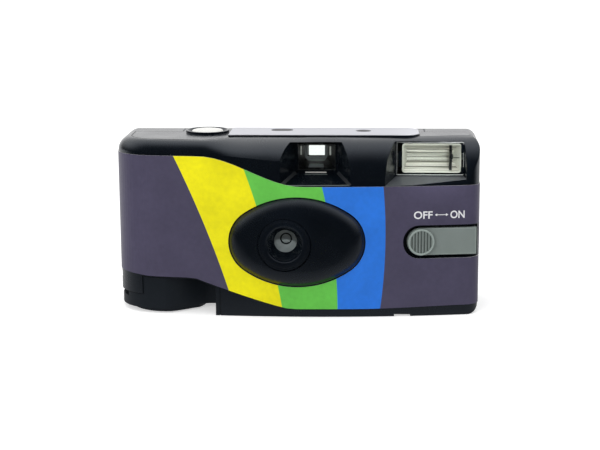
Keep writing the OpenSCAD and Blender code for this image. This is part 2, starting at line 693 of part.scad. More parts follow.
module cocking_cam() color("#d7d9d6") translate([sprocket_x, sprocket_y, 0]) {
    difference() {
        rod_z(0, 0, 3.2, deck_z + 2, deck_z + 3.6);
        translate([2.2, -1, deck_z + 1]) cube([3, 2, 4]);
    }
    rod_z(0, 0, 1.5, deck_z + 3.6, top_in - 1.2);
    block(0, 2.7, -0.5, 0.5, top_in - 2, top_in - 1.2);
}

module counter_disc() color("#ececea") difference() {
    union() {
        rod_z(counter_x, counter_y, 7, top_in - 2, top_in - 1.2);
        rod_z(counter_x, counter_y, 2.4, top_in - 4, top_in - 1.5);
    }
    rod_z(counter_x, counter_y, 1.26, top_in - 5, top_in - 1.8);
    for (k = [0:29]) translate([counter_x, counter_y, top_in - 2.5]) rotate([0, 0, 12 * k])
        translate([6.55, -0.3, 0]) cube([1, 0.6, 2]);
}

module counter_lens() color("#2a3038") translate([count_win_x, count_win_y, body_h - wall + 0.2])
    linear_extrude(wall + plateau_h) round_rect(6.8, 4.8, 1.9);

module thumbwheel() color("#1f2226") translate([cart_x, cart_y, 0]) {
    difference() {
        rod_z(0, 0, wheel_r, wheel_z, wheel_top);
        for (k = [0:59]) rotate([0, 0, 6 * k + 3]) translate([wheel_r + 0.25, 0, wheel_z - 1])
            cylinder(r = 0.5, h = 8, $fn = 16);
        rod_z(0, 0, wheel_r - 2.6, wheel_top - 0.7, wheel_top + 1);
    }
    rod_z(0, 0, 4, wheel_top - 1, wheel_top + 0.4);
    rod_z(0, 0, 5.8, cart_top + 0.45, wheel_z + 0.5);
    block(-2.2, 2.2, -0.6, 0.6, cart_top - 3.6, wheel_z);
}

module anti_reverse_pawl() color("#e3e4e2") {
    block(-26.6, -23.6, -8.2, -5.2, deck_z + 1, wheel_z + 0.2);
    block(-30.2, -23.6, -8.2, -7.4, wheel_z + 0.2, wheel_z + 2.4);
}

module film_cartridge() color("#9aa0a6") difference() {
    union() {
        rod_z(cart_x, cart_y, cart_r, cart_low, cart_top);
        block(cart_x + 6, cart_x + 12.4, film_y - 1.3, film_y + 1, cart_low + 2, cart_top - 2);
    }
    rod_z(cart_x, cart_y, cart_r - 0.5, cart_low + 0.6, cart_top - 0.6);
    rod_z(cart_x, cart_y, 5.6, cart_top - 2, cart_top + 2);
    block(cart_x + 5, cart_x + 20, film_y - 0.35, film_y + 0.35, film_low - 0.4, film_top + 0.4);
}

module cartridge_spool() color("#26282b") translate([cart_x, cart_y, 0]) difference() {
    union() {
        rod_z(0, 0, 5.3, cart_low + 1, cart_top + 0.15);
        rod_z(0, 0, 9.5, cart_low + 1, cart_low + 2);
        rod_z(0, 0, 9.5, film_top + 1, film_top + 2);
    }
    rod_z(0, 0, 2.6, cart_top - 4, cart_top + 2);
}

module film_strip() color("#6d5a4e") difference() {
    block(cart_x + 10.5, roll_x, film_y - 0.1, film_y + 0.1, film_low, film_top);
    block(sprocket_x - 5, sprocket_x + 5, film_y - 1, film_y + 1, sprocket_z - 0.4, sprocket_z + 2.1);
    for (x = [cart_x + 14 + 16.8:4.75:roll_x - 3]) for (z = [film_low + 2, film_top - 4.8])
        block(x, x + 2, film_y - 1, film_y + 1, z, z + 2.8);
}

module takeup_spool() color("#26282b") {
    rod_z(roll_x, roll_y, 5, film_low - 0.3, film_top + 0.4);
}

module film_roll() color("#6d5a4e") difference() {
    rod_z(roll_x, roll_y, roll_r, film_low, film_top);
    rod_z(roll_x, roll_y, 5, film_low - 1, film_top + 1);
}

module viewfinder_front_lens() color("#cfd6da")
    block(finder_x0 + 0.6, finder_x1 - 0.6, finder_y + 0.1, finder_y + 1.2, finder_z0 + 0.5, finder_z1 - 0.6);

module viewfinder_eyepiece() color("#cfd6da")
    block(eye_x - 3.4, eye_x + 3.4, rear_y - wall - 1.3, rear_y - wall - 0.1, eye_z - 2.3, eye_z + 2.3);

module flash_window() color("#e6eaec")
    block(flash_x0 + 0.3, flash_x1 - 0.3, flash_y + 0.1, flash_y + 1.3, flash_z0 + 0.3, flash_z1 - 0.3);

module trough(r, t) {
    translate([flash_y + 5.4, flash_mid]) difference() {
        circle(r = r);
        circle(r = r - t);
        translate([-20, -20]) square([18.6, 40]);
    }
}

module flash_reflector() color("#c9cbc8") {
    difference() {
        translate([flash_x0 + 1.2, 0, 0]) rotate([90, 0, 90]) linear_extrude(flash_x1 - flash_x0 - 2.4) {
            trough(4.6, 0.5);
            translate([flash_y + 1.5, flash_mid + 4.1]) square([2.7, 0.5]);
            translate([flash_y + 1.5, flash_mid - 4.6]) square([2.7, 0.5]);
        }
        rod_x(flash_y + 6, flash_mid, 1.9, flash_x0, flash_x0 + 2);
    }
    for (x = [flash_x0 + 1.2, flash_x1 - 1.7]) difference() {
        block(x, x + 0.5, flash_y + 1.5, flash_y + 8.6, flash_mid - 4.4, flash_mid + 4.4);
        rod_x(flash_y + 5.6, flash_mid, 1.75, x - 1, x + 2);
        block(x - 1, x + 2, flash_y + 8, flash_y + 12, flash_mid - 6, flash_mid + 6);
    }
}

module flash_tube() color("#dfe4e6") rod_x(flash_y + 5.6, flash_mid, 1.5, flash_x0 + 0.9, flash_x1 - 0.9);

module tube_electrodes() color("#8f9296") {
    rod_x(flash_y + 5.6, flash_mid, 1, flash_x0 + 0.1, flash_x0 + 0.9);
    rod_x(flash_y + 5.6, flash_mid, 1, flash_x1 - 0.9, flash_x1 - 0.1);
}

module trigger_wire() color("#3b3d40") {
    block(flash_x1 - 4.9, flash_x1 - 4, flash_y + 2.2, flash_y + 2.8, flash_mid - 4, flash_mid + 4);
    block(flash_x1 - 4.9, flash_x1 - 4, flash_y + 2.4, flash_y + 4, flash_mid - 0.5, flash_mid + 0.5);
}

module flash_board() color("#3f6b3c") difference() {
    block(half_w - 15.6, half_w - 2.6, -5.8, -4.6, 5, 41.4);
    for (z = [9, 37]) rod_y(half_w - 4.6, z, 1.1, -7, -3);
}

module flash_capacitor() color("#2b3140")
    rod_z(half_w - 9.2, rear_y - 2.2 - 6.3 - 2.4, 6.3, 3, 31.5);

module flash_transformer() color("#b5803c") {
    block(half_w - 15.3, half_w - 6.8, -4.6, 3, 33.4, 34.6);
    block(half_w - 15.3, half_w - 6.8, -4.6, 3, 39.4, 40.6);
    rod_z(half_w - 11, -0.8, 3.4, 34.6, 39.4);
}

module sync_contact() color("#c2a25c") {
    block(lens_x + 12.6, lens_x + 14.6, -8.6, -8.3, lens_z - 3, lens_z + 15);
    block(lens_x + 12.6, lens_x + 14.6, -7.3, -7, lens_z - 3, lens_z + 12);
    block(lens_x + 12.4, lens_x + 14.8, -9, -6.6, lens_z - 6, lens_z - 3);
}

module board_screws() color("#a8abae") for (z = [9, 37]) {
    rod_y(half_w - 4.6, z, 1.8, -6.8, -5.8);
    rod_y(half_w - 4.6, z, 1, -5.9, -3.2);
}

module battery() color("#3b3f45") {
    rod_x(cell_y, cell_z, cell_r, cell_x0, cell_x0 + cell_len - 0.9);
    rod_x(cell_y, cell_z, 1.9, cell_x0 + cell_len - 1, cell_x0 + cell_len);
}

module battery_contacts() color("#c2c4c6") {
    block(cell_x0 - 0.7, cell_x0 - 0.1, cell_y - 3.8, cell_y + 3, cell_z - 4, cell_z + 4);
    block(cell_x0 + cell_len + 0.1, cell_x0 + cell_len + 0.7, cell_y - 3.8, cell_y + 2.4,
        cell_z - 4, cell_z + 4);
}

module flash_switch() color("#7b8582") at_switch() {
    pad_r = switch_h / 2 - 0.05;
    pad_u = pad_r - 11.1;
    switch_bar(-11.1, 11.5, switch_h, pad_r, 0.25, pocket_d - 0.2);
    difference() {
        rod_y(pad_u, 0, pad_r - 0.05, -0.75, 0.5);
        for (k = [-3:3]) block(pad_u + k - 0.25, pad_u + k + 0.25, -2, -0.35, -6, 6);
    }
    block(-9.4, -6.6, pocket_d - 0.4, pocket_d + 1.6, -1.4, 1.4);
}

module switch_contact() color("#c2a25c") at_switch()
    block(-10.4, -5.6, pocket_d + 1.6, pocket_d + 2, -3, 3);

module shutter_button() color("#f2f2ed") {
    button_top = body_h + collar_h + 0.3;
    translate([button_x, button_y, 0]) rotate_extrude()
        polygon([[0, body_h - 3.4], [button_r, body_h - 3.4], [button_r, button_top - 0.9],
            [button_r - 0.15, button_top - 0.55], [button_r - 0.5, button_top - 0.3],
            [button_r - 1.2, button_top - 0.14], [1.5, button_top], [0, button_top]]);
    rod_z(button_x, button_y, button_r + 0.9, top_in - 2.7, top_in - 1.1);
    lever_bar(button_x, button_y, -24.6, 3.5, 3, top_in - 2.7, top_in - 1.6);
    rod_z(-24.6, 3.5, 1.2, deck_z + 5.4 + button_travel, top_in - 2);
}

module ready_lamp() color("#3a2a2a") {
    rod_z(lamp_x, lamp_y, 2.2, top_in - 4, body_h + plateau_h + label_t);
    rod_z(lamp_x, lamp_y, 3, top_in - 5, top_in - 1);
}

module film_door() color(black) difference() {
    union() {
        difference() {
            intersection() {
                union() {
                    // wall, flush with the end of the body
                    translate([0, 0, door_step]) linear_extrude(30) intersection() {
                        polygon(plan_points(0.3));
                        door_flow(0);
                    }
                    // foot of the cup, set back under the wall
                    translate([0, 0, door_low]) linear_extrude(door_step + 0.2 - door_low) intersection() {
                        polygon(plan_points(0.5));
                        door_flow(0.45);
                        union() {
                            translate([cart_x - 1, 0.1]) circle(r = 12.2);
                            translate([-half_w, 3]) square([half_w + foot_x, rear_y]);
                        }
                    }
                }
                door_region(-0.7, -gap, -0.2);
            }
            door_hollow();
            // room for the hinge to turn
            block(-80, hinge_x + 1.6, -40, 40, hinge_z - 0.2, 40);
        }
        rod_y(hinge_x, hinge_z, knuckle_r, hinge_y - ear_t, hinge_y + ear_t);
        block(hinge_x, hinge_x + 1, hinge_y - ear_t, hinge_y + ear_t, hinge_z - 2, hinge_z + 0.5);
    }
    rod_y(hinge_x, hinge_z, pin_r + 0.05, hinge_y - 4.4, hinge_y + 4.4);
    for (y = [hinge_y - ear_y - ear_t, hinge_y + ear_y])
        block(-80, hinge_x + knuckle_r + 0.4, y - 0.2, y + ear_t + 0.2, hinge_z - 2.6, 40);
    // slot for the film
    block(foot_x - 4, foot_x + 1, film_y - 0.6, film_y + 0.6, film_low - 0.8, 30);
}

module door_pin() color("#a8abae") rod_y(hinge_x, hinge_z, pin_r, hinge_y - 3.9, hinge_y + 3.9);

front_cover();
rear_cover();
film_chassis();
front_label();
rear_label();
top_label();
lens_retainer();
taking_lens();
aperture_plate();
shutter_blade();
shutter_spring();
striker_lever();
striker_spring();
metering_lever();
sprocket_wheel();
cocking_cam();
counter_disc();
counter_lens();
thumbwheel();
anti_reverse_pawl();
film_cartridge();
cartridge_spool();
film_strip();
takeup_spool();
film_roll();
viewfinder_front_lens();
viewfinder_eyepiece();
flash_window();
flash_reflector();
flash_tube();
tube_electrodes();
trigger_wire();
flash_board();
flash_capacitor();
flash_transformer();
sync_contact();
board_screws();
battery();
battery_contacts();
flash_switch();
switch_contact();
shutter_button();
ready_lamp();
film_door();
door_pin();
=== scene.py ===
import json
import math
import bmesh
import bpy
from mathutils import Matrix, Vector


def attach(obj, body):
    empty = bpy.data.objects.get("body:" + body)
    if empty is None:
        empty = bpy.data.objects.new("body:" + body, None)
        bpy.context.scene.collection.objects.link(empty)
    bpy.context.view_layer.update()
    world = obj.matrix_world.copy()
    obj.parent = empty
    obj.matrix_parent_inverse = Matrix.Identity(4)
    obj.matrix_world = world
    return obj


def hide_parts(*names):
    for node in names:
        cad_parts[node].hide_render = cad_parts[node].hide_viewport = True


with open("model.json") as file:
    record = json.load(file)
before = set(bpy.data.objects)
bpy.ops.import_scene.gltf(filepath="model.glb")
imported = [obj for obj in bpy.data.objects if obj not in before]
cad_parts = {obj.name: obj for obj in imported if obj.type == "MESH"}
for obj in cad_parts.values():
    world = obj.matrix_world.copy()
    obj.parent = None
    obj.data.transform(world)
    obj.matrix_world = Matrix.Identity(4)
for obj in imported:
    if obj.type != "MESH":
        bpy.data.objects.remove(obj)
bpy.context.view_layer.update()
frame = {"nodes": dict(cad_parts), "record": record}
nodes = frame["nodes"]
scene = bpy.context.scene
mm = 0.001
print("frame loaded:", len(nodes), "nodes")

# driving sizes of the body, in millimetres as in the CAD
body = {"frontRadius": 320, "frontMiddle": -16.025, "height": 57, "halfWidth": 59, "paper": 0.2}


def frontAt(x):  # the front face bends round a large radius
    return body["frontMiddle"] + body["frontRadius"] - math.sqrt(body["frontRadius"] ** 2 - x * x)


def linear(code):  # sRGB hex to linear colour
    parts = [int(code[k:k + 2], 16) / 255 for k in (1, 3, 5)]
    return tuple(p / 12.92 if p <= 0.04045 else ((p + 0.055) / 1.055) ** 2.4 for p in parts) + (1,)


def setSockets(tree, node, sockets):
    for name, value in sockets.items():
        if isinstance(value, bpy.types.NodeSocket):
            tree.links.new(value, node.inputs[name])
        else:
            node.inputs[name].default_value = value


def addNode(tree, kind, sockets=None, **settings):
    node = tree.nodes.new(kind if "Node" in kind else "ShaderNode" + kind)
    for name, value in settings.items():
        setattr(node, name, value)
    setSockets(tree, node, sockets or {})
    return node


def startMaterial(name):
    material = bpy.data.materials.new(name)
    material.use_nodes = True
    return material, material.node_tree, material.node_tree.nodes["Principled BSDF"]


# camera: a little to the right of the middle, looking down on the top
view = {"place": (24.43, -476.85, 125.5), "turn": 2.86, "tilt": 78.35, "roll": -0.29, "focal": 1472,
    "wide": 600, "sensor": 36}
cameraData = bpy.data.cameras.new("studioCamera")
cameraData.sensor_fit = "HORIZONTAL"
cameraData.sensor_width = view["sensor"]
cameraData.lens = view["focal"] / view["wide"] * view["sensor"]  # focal length and width are in pixels
cameraData.clip_start = 0.01
camera = bpy.data.objects.new("studioCamera", cameraData)
aim = Matrix.Translation(Vector(view["place"]) * mm)
aim = aim @ Matrix.Rotation(math.radians(view["turn"]), 4, "Z")
aim = aim @ Matrix.Rotation(math.radians(view["tilt"]), 4, "X")
camera.matrix_world = aim @ Matrix.Rotation(math.radians(view["roll"]), 4, "Z")
scene.collection.objects.link(camera)
scene.camera = camera
scene.view_settings.view_transform = "Standard"
print("camera placed")

# white sweep behind and white sheets at both sides, fading into a dark room on the camera's side
# each span gives where a sheet starts and where it is full, along the direction that the gloss looks in
studio = {"fill": 0.8, "front": 0.012, "above": 1.3, "back": -0.1, "sides": 0.5, "floorGlow": 0.5,
    "floorTone": "#e6e6e6", "aboveSpan": (-0.68, 0.25), "upSpan": (0.0, 0.6), "farSpan": (0.45, 0.9),
    "backSpan": (0.25, 1.0), "sideSpan": (0.55, 0.95), "floorSpan": (-0.12, 0.12), "floorHalf": 3,
    "drop": 0.1}
world = bpy.data.worlds.new("whiteStudio")
scene.world = world
world.use_nodes = True
sky = world.node_tree
backdrop = sky.nodes["Background"]
path = addNode(sky, "LightPath")
heading = addNode(sky, "SeparateXYZ", {0: addNode(sky, "TexCoord").outputs["Generated"]})
start, full = studio["aboveSpan"]
above = addNode(sky, "MapRange", {"Value": heading.outputs["Y"], "From Min": start, "From Max": full,
    "To Min": 0.0, "To Max": studio["above"]}, interpolation_type="SMOOTHSTEP")
start, full = studio["upSpan"]
upward = addNode(sky, "MapRange", {"Value": heading.outputs["Z"], "From Min": start, "From Max": full},
    interpolation_type="SMOOTHSTEP")
start, full = studio["farSpan"]
far = addNode(sky, "MapRange", {"Value": heading.outputs["Y"], "From Min": start, "From Max": full},
    interpolation_type="SMOOTHSTEP")
share = addNode(sky, "Math", {0: upward.outputs[0], 1: far.outputs[0]}, operation="MAXIMUM")
above = addNode(sky, "Math", {0: above.outputs[0], 1: share.outputs[0], 2: studio["front"]},
    operation="MULTIPLY_ADD")
start, full = studio["backSpan"]
behind = addNode(sky, "MapRange", {"Value": heading.outputs["Y"], "From Min": start, "From Max": full,
    "To Min": 0.0, "To Max": studio["back"]})
aside = addNode(sky, "Math", {0: heading.outputs["X"]}, operation="ABSOLUTE")
start, full = studio["sideSpan"]
sides = addNode(sky, "MapRange", {"Value": aside.outputs[0], "From Min": start, "From Max": full,
    "To Min": 0.0, "To Max": studio["sides"]}, interpolation_type="SMOOTHSTEP")
sides = addNode(sky, "Math", {0: sides.outputs[0], 1: far.outputs[0]}, operation="MULTIPLY")
sheen = addNode(sky, "Math", {0: above.outputs[0], 1: behind.outputs[0]}, operation="ADD")
sheen = addNode(sky, "Math", {0: sheen.outputs[0], 1: sides.outputs[0]}, operation="ADD")
seen = addNode(sky, "Math", {0: path.outputs["Is Camera Ray"], 1: path.outputs["Is Transmission Ray"]},
    operation="MAXIMUM")
lit = addNode(sky, "Mix", {0: path.outputs["Is Glossy Ray"], 2: studio["fill"], 3: sheen.outputs[0]})
level = addNode(sky, "Mix", {0: seen.outputs[0], 2: lit.outputs[0], 3: 1.0})
setSockets(sky, backdrop, {"Color": (1, 1, 1, 1), "Strength": level.outputs[0]})

floorMesh = bpy.data.meshes.new("studioFloor")
wide = studio["floorHalf"]
floorCorners = [(-wide, -wide, 0), (wide, -wide, 0), (wide, wide, 0), (-wide, wide, 0)]
floorMesh.from_pydata(floorCorners, [], [(0, 1, 2, 3)])
floor = bpy.data.objects.new("studioFloor", floorMesh)
floor.location.z = -studio["drop"] * mm
scene.collection.objects.link(floor)
floorPaper, tree, shader = startMaterial("paperSweepMatte")
path = addNode(tree, "LightPath")
place = addNode(tree, "SeparateXYZ", {0: addNode(tree, "NewGeometry").outputs["Position"]})
start, full = studio["floorSpan"]
nearDark = addNode(tree, "MapRange", {"Value": place.outputs["Y"], "From Min": start, "From Max": full,
    "To Min": studio["front"], "To Max": 1.0}, interpolation_type="SMOOTHSTEP")
seen = addNode(tree, "Math", {0: path.outputs["Is Camera Ray"], 1: path.outputs["Is Transmission Ray"]},
    operation="MAXIMUM")
glow = addNode(tree, "Math", {0: seen.outputs[0], 1: studio["floorGlow"]}, operation="MULTIPLY")
setSockets(tree, shader, {"Base Color": linear(studio["floorTone"]), "Roughness": 1.0,
    "Specular IOR Level": 0.0, "Emission Color": (1, 1, 1, 1), "Emission Strength": glow.outputs[0]})
mirrorSide = addNode(tree, "Emission", {"Color": (1, 1, 1, 1), "Strength": nearDark.outputs[0]})
either = addNode(tree, "MixShader", {0: path.outputs["Is Glossy Ray"], 1: shader.outputs[0],
    2: mirrorSide.outputs[0]})
tree.links.new(either.outputs[0], tree.nodes["Material Output"].inputs["Surface"])
floorMesh.materials.append(floorPaper)


def addLamp(lamp, kind):
    lampData = bpy.data.lights.new(lamp["name"], kind)
    lampData.energy = lamp["watts"]
    lampObject = bpy.data.objects.new(lamp["name"], lampData)
    lampObject.location = Vector(lamp["place"]) * mm
    toward = Vector(lamp["aim"]) - Vector(lamp["place"])
    lampObject.rotation_euler = toward.to_track_quat("-Z", "Y").to_euler()
    lampObject.visible_glossy = False  # what shines in the gloss is the sheet and the sweep
    scene.collection.objects.link(lampObject)
    return lampData


lamps = [
    {"name": "softBoxAbove", "place": (-60, -120, 620), "aim": (0, 0, 20), "size": 480, "watts": 1.0},
    {"name": "softBoxFront", "place": (-420, -620, 330), "aim": (0, 0, 25), "size": 500, "watts": 1.4},
]
for lamp in lamps:
    lampData = addLamp(lamp, "AREA")
    lampData.shape = "SQUARE"
    lampData.size = lamp["size"] * mm
# narrow spots that reach into the flash and down the lens
snoots = [
    {"name": "snootOnFlash", "place": (95, -420, 210), "aim": (44.2, -4, 50.6), "cone": 3.2, "blend": 0.25,
        "mouth": 6, "watts": 6.5},
    {"name": "snootOnLens", "place": (20, -400, 236), "aim": (-3.5, -9, 22.6), "cone": 1.5, "blend": 0.5,
        "mouth": 6, "watts": 7.0},
]
for snoot in snoots:
    lampData = addLamp(snoot, "SPOT")
    lampData.spot_size = math.radians(snoot["cone"])
    lampData.spot_blend = snoot["blend"]
    lampData.shadow_soft_size = snoot["mouth"] * mm
print("stage lit")


# moulded plastic: the mould's spark-eroded skin gives a fine grain and a gloss that drifts slowly
def mouldedPlastic(look):
    material, tree, shader = startMaterial(look["name"])
    place = addNode(tree, "TexCoord").outputs["Object"]
    grain = addNode(tree, "TexNoise", {"Vector": place, "Scale": 1 / (look["grain"] * mm), "Detail": 3.0})
    cloud = addNode(tree, "TexNoise", {"Vector": place, "Scale": 1 / (look["cloud"] * mm), "Detail": 2.0})
    tone = addNode(tree, "Mix", {0: cloud.outputs[0], 6: linear(look["deep"]), 7: linear(look["pale"])},
        data_type="RGBA")
    mixed = addNode(tree, "Math", {0: grain.outputs[0], 1: cloud.outputs[0]}, operation="ADD")
    gloss = addNode(tree, "MapRange", {"Value": mixed.outputs[0], "From Min": 0.6, "From Max": 1.4,
        "To Min": look["gloss"][0], "To Max": look["gloss"][1]})
    bump = addNode(tree, "Bump", {"Height": grain.outputs[0], "Strength": look["bump"],
        "Distance": look["grain"] * mm * 0.1})
    if "edge" in look:  # mould radius along every edge catches the light
        rounded = addNode(tree, "Bevel", {"Radius": look["edge"] * mm}, samples=6)
        setSockets(tree, bump, {"Normal": rounded.outputs[0]})
    setSockets(tree, shader, {"Base Color": tone.outputs[2], "Roughness": gloss.outputs[0],
        "IOR": look["ior"], "Specular IOR Level": look["specular"],
        "Specular Tint": linear(look.get("cast", "#ffffff")), "Normal": bump.outputs[0]})
    return material


# grain is drawn at about 0.3 mm, twice as coarse as the real skin, so that it shows
plastics = {
    "black_abs": {"name": "blackAbsSparkEroded", "deep": "#060a10", "pale": "#0a1017", "grain": 0.3,
        "cloud": 9.0, "gloss": (0.2, 0.3), "bump": 0.2, "ior": 1.54, "specular": 0.5, "edge": 0.2,
        "cast": "#e8f2ff"},
    # film door: a rougher black whose paler tone is a painted reflection, standing in for the light the
    # door's curves catch
    "black_door_painted_reflection": {"name": "blackAbsMattePaintedReflection", "deep": "#13171c", "pale": "#191e24", "grain": 0.35,
        "cloud": 9.0, "gloss": (0.4, 0.5), "bump": 0.25, "ior": 1.54, "specular": 0.25, "edge": 0.2,
        "cast": "#e8f2ff"},
    "black_frame": {"name": "blackStyreneMatte", "deep": "#060a0e", "pale": "#0b1015", "grain": 0.4,
        "cloud": 7.0, "gloss": (0.5, 0.7), "bump": 0.5, "ior": 1.54, "specular": 0.4},
    "grey_abs": {"name": "greyAbsSatin", "deep": "#757f7b", "pale": "#7f8986", "grain": 0.35, "cloud": 6.0,
        "gloss": (0.3, 0.42), "bump": 0.3, "ior": 1.54, "specular": 0.5, "edge": 0.5},
    # paler grey for the switch's rim and bar edge: a painted highlight on edges that catch the light
    "grey_painted_highlight": {"name": "greyAbsPaintedHighlight", "deep": "#8d9994", "pale": "#98a49f", "grain": 0.35,
        "cloud": 3.0, "gloss": (0.22, 0.32), "bump": 0.2, "ior": 1.54, "specular": 0.5},
    # darker grey for bars laid in the switch's grooves: painted shade
    "grey_painted_shade": {"name": "greyAbsPaintedShade", "deep": "#56605c", "pale": "#636d69", "grain": 0.35,
        "cloud": 1.5, "gloss": (0.45, 0.6), "bump": 0.3, "ior": 1.54, "specular": 0.4},
    "white_abs": {"name": "whiteAbsPolished", "deep": "#e0e0da", "pale": "#e8e8e3", "grain": 0.5,
        "cloud": 5.0, "gloss": (0.2, 0.3), "bump": 0.1, "ior": 1.54, "specular": 0.5},
    "natural_acetal": {"name": "naturalAcetalMoulded", "deep": "#d9dad3", "pale": "#e6e7e1", "grain": 0.4,
        "cloud": 4.0, "gloss": (0.35, 0.5), "bump": 0.2, "ior": 1.48, "specular": 0.5},
    "film_base": {"name": "acetateFilmEmulsion", "deep": "#5d4a40", "pale": "#6d594d", "grain": 0.3,
        "cloud": 8.0, "gloss": (0.25, 0.4), "bump": 0.1, "ior": 1.48, "specular": 0.5},
    "board": {"name": "fibreglassBoardMasked", "deep": "#2f5b31", "pale": "#3d6c3b", "grain": 0.6,
        "cloud": 3.0, "gloss": (0.3, 0.45), "bump": 0.4, "ior": 1.55, "specular": 0.5},
    "sleeve": {"name": "vinylSleeveShrunk", "deep": "#2a2f3a", "pale": "#353b48", "grain": 0.5,
        "cloud": 6.0, "gloss": (0.2, 0.35), "bump": 0.15, "ior": 1.54, "specular": 0.5},
    "smoke_acrylic": {"name": "smokeAcrylicMoulded", "deep": "#17181c", "pale": "#202227", "grain": 0.6,
        "cloud": 3.0, "gloss": (0.4, 0.55), "bump": 0.1, "ior": 1.49, "specular": 0.4},
    "white_ink": {"name": "whiteInkScreened", "deep": "#dcdde0", "pale": "#e9eaec", "grain": 0.3,
        "cloud": 1.5, "gloss": (0.45, 0.6), "bump": 0.2, "ior": 1.5, "specular": 0.4},
    "mask_pale": {"name": "paleStyreneMoulded", "deep": "#63676a", "pale": "#707477", "grain": 0.4,
        "cloud": 3.0, "gloss": (0.35, 0.5), "bump": 0.2, "ior": 1.54, "specular": 0.5},
    # grey for the flash floor and the flash rim: painted reflection and painted highlight
    "grey_painted_sheen": {"name": "greyPaintedSheen", "deep": "#4b4f53", "pale": "#575b5f", "grain": 0.4,
        "cloud": 3.0, "gloss": (0.35, 0.5), "bump": 0.2, "ior": 1.54, "specular": 0.5},
    # dark grey, paler than the black, for the finder's fillets: a painted highlight
    "dark_painted_sheen": {"name": "darkGreyPaintedSheen", "deep": "#1f2225", "pale": "#282b2e", "grain": 0.4,
        "cloud": 3.0, "gloss": (0.35, 0.5), "bump": 0.2, "ior": 1.54, "specular": 0.5},
    "dark_rubber": {"name": "darkRubberSleeved", "deep": "#1b1c1e", "pale": "#2a2b2d", "grain": 0.3,
        "cloud": 1.5, "gloss": (0.45, 0.6), "bump": 0.3, "ior": 1.5, "specular": 0.5},
}
finishes = {slot: mouldedPlastic(look) for slot, look in plastics.items()}


# offset print on coated paper: ink mottles a little over the fibres, and the cut edge shows the white core
def printedPaper(look):
    material, tree, shader = startMaterial(look["name"])
    place = addNode(tree, "TexCoord").outputs["Object"]
    inMm = addNode(tree, "VectorMath", {0: place, 3: 1 / mm}, operation="SCALE")
    axes = addNode(tree, "SeparateXYZ", {0: inMm.outputs[0]})
    ink = linear(look["ground"])
    for colour, (start, slope, bend) in zip(look["colours"], look["lines"]):
        curve = addNode(tree, "Math", {0: axes.outputs["Z"], 1: bend, 2: slope}, operation="MULTIPLY_ADD")
        line = addNode(tree, "Math", {0: axes.outputs["Z"], 1: curve.outputs[0], 2: start},
            operation="MULTIPLY_ADD")
        side = addNode(tree, "Math", {0: axes.outputs["X"], 1: line.outputs[0]}, operation="SUBTRACT")
        step = addNode(tree, "MapRange", {"Value": side.outputs[0], "From Min": -look["blur"],
            "From Max": look["blur"]})
        ink = addNode(tree, "Mix", {0: step.outputs[0], 6: ink, 7: linear(colour)},
            data_type="RGBA").outputs[2]
    for middle, half, tone in look["panels"]:  # blank fields with straight edges
        inside = 1.0
        for axis, centre, reach in zip("XZ", middle, half):
            offset = addNode(tree, "Math", {0: axes.outputs[axis], 1: centre}, operation="SUBTRACT")
            offset = addNode(tree, "Math", {0: offset.outputs[0]}, operation="ABSOLUTE")
            near = addNode(tree, "MapRange", {"Value": offset.outputs[0], "From Min": reach - look["blur"],
                "From Max": reach + look["blur"], "To Min": 1.0, "To Max": 0.0})
            inside = addNode(tree, "Math", {0: near.outputs[0], 1: inside}, operation="MULTIPLY").outputs[0]
        ink = addNode(tree, "Mix", {0: inside, 6: ink, 7: linear(tone)}, data_type="RGBA").outputs[2]
    fibre = addNode(tree, "TexNoise", {"Vector": place, "Scale": 1 / (look["fibre"] * mm), "Detail": 4.0})
    mottle = addNode(tree, "TexNoise", {"Vector": place, "Scale": 1 / (look["mottle"] * mm), "Detail": 5.0})
    smudge = addNode(tree, "TexNoise", {"Vector": place, "Scale": 1 / (look["smudge"] * mm), "Detail": 2.0})
    speckle = addNode(tree, "MapRange", {"Value": mottle.outputs[0], "From Min": 0.3, "From Max": 0.7,
        "To Min": 0.95, "To Max": 1.05})
    worn = addNode(tree, "MapRange", {"Value": smudge.outputs[0], "From Min": 0.3, "From Max": 0.7,
        "To Min": look["worn"][0], "To Max": look["worn"][1]})
    shade = addNode(tree, "Math", {0: speckle.outputs[0], 1: worn.outputs[0]}, operation="MULTIPLY")
    printed = addNode(tree, "VectorMath", {0: ink, 3: shade.outputs[0]}, operation="SCALE")
    facing = addNode(tree, "SeparateXYZ", {0: addNode(tree, "NewGeometry").outputs["True Normal"]})
    endSide = addNode(tree, "Math", {0: axes.outputs["X"]}, operation="ABSOLUTE")
    endSide = addNode(tree, "MapRange", {"Value": endSide.outputs[0], "From Min": look["cornerFrom"],
        "From Max": look["cornerFrom"] + 0.5})
    outX = addNode(tree, "Math", {0: facing.outputs["X"], 1: endSide.outputs[0]}, operation="MULTIPLY")
    outX = addNode(tree, "Math", {0: outX.outputs[0]}, operation="ABSOLUTE")
    outY = addNode(tree, "Math", {0: facing.outputs["Y"]}, operation="ABSOLUTE")
    out = addNode(tree, "Math", {0: outX.outputs[0], 1: outY.outputs[0]}, operation="ADD")
    core = addNode(tree, "MapRange", {"Value": out.outputs[0], "From Min": 0.3, "From Max": 0.6,
        "To Min": 1.0, "To Max": 0.0})
    tint = addNode(tree, "Mix", {0: core.outputs[0], 6: printed.outputs[0], 7: linear(look["core"])},
        data_type="RGBA")
    gloss = addNode(tree, "MapRange", {"Value": fibre.outputs[0], "From Min": 0.3, "From Max": 0.7,
        "To Min": look["gloss"][0], "To Max": look["gloss"][1]})
    bump = addNode(tree, "Bump", {"Height": fibre.outputs[0], "Strength": 0.2, "Distance": 0.00003})
    setSockets(tree, shader, {"Base Color": tint.outputs[2], "Roughness": gloss.outputs[0], "IOR": 1.5,
        "Specular IOR Level": look["specular"], "Normal": bump.outputs[0]})
    return material


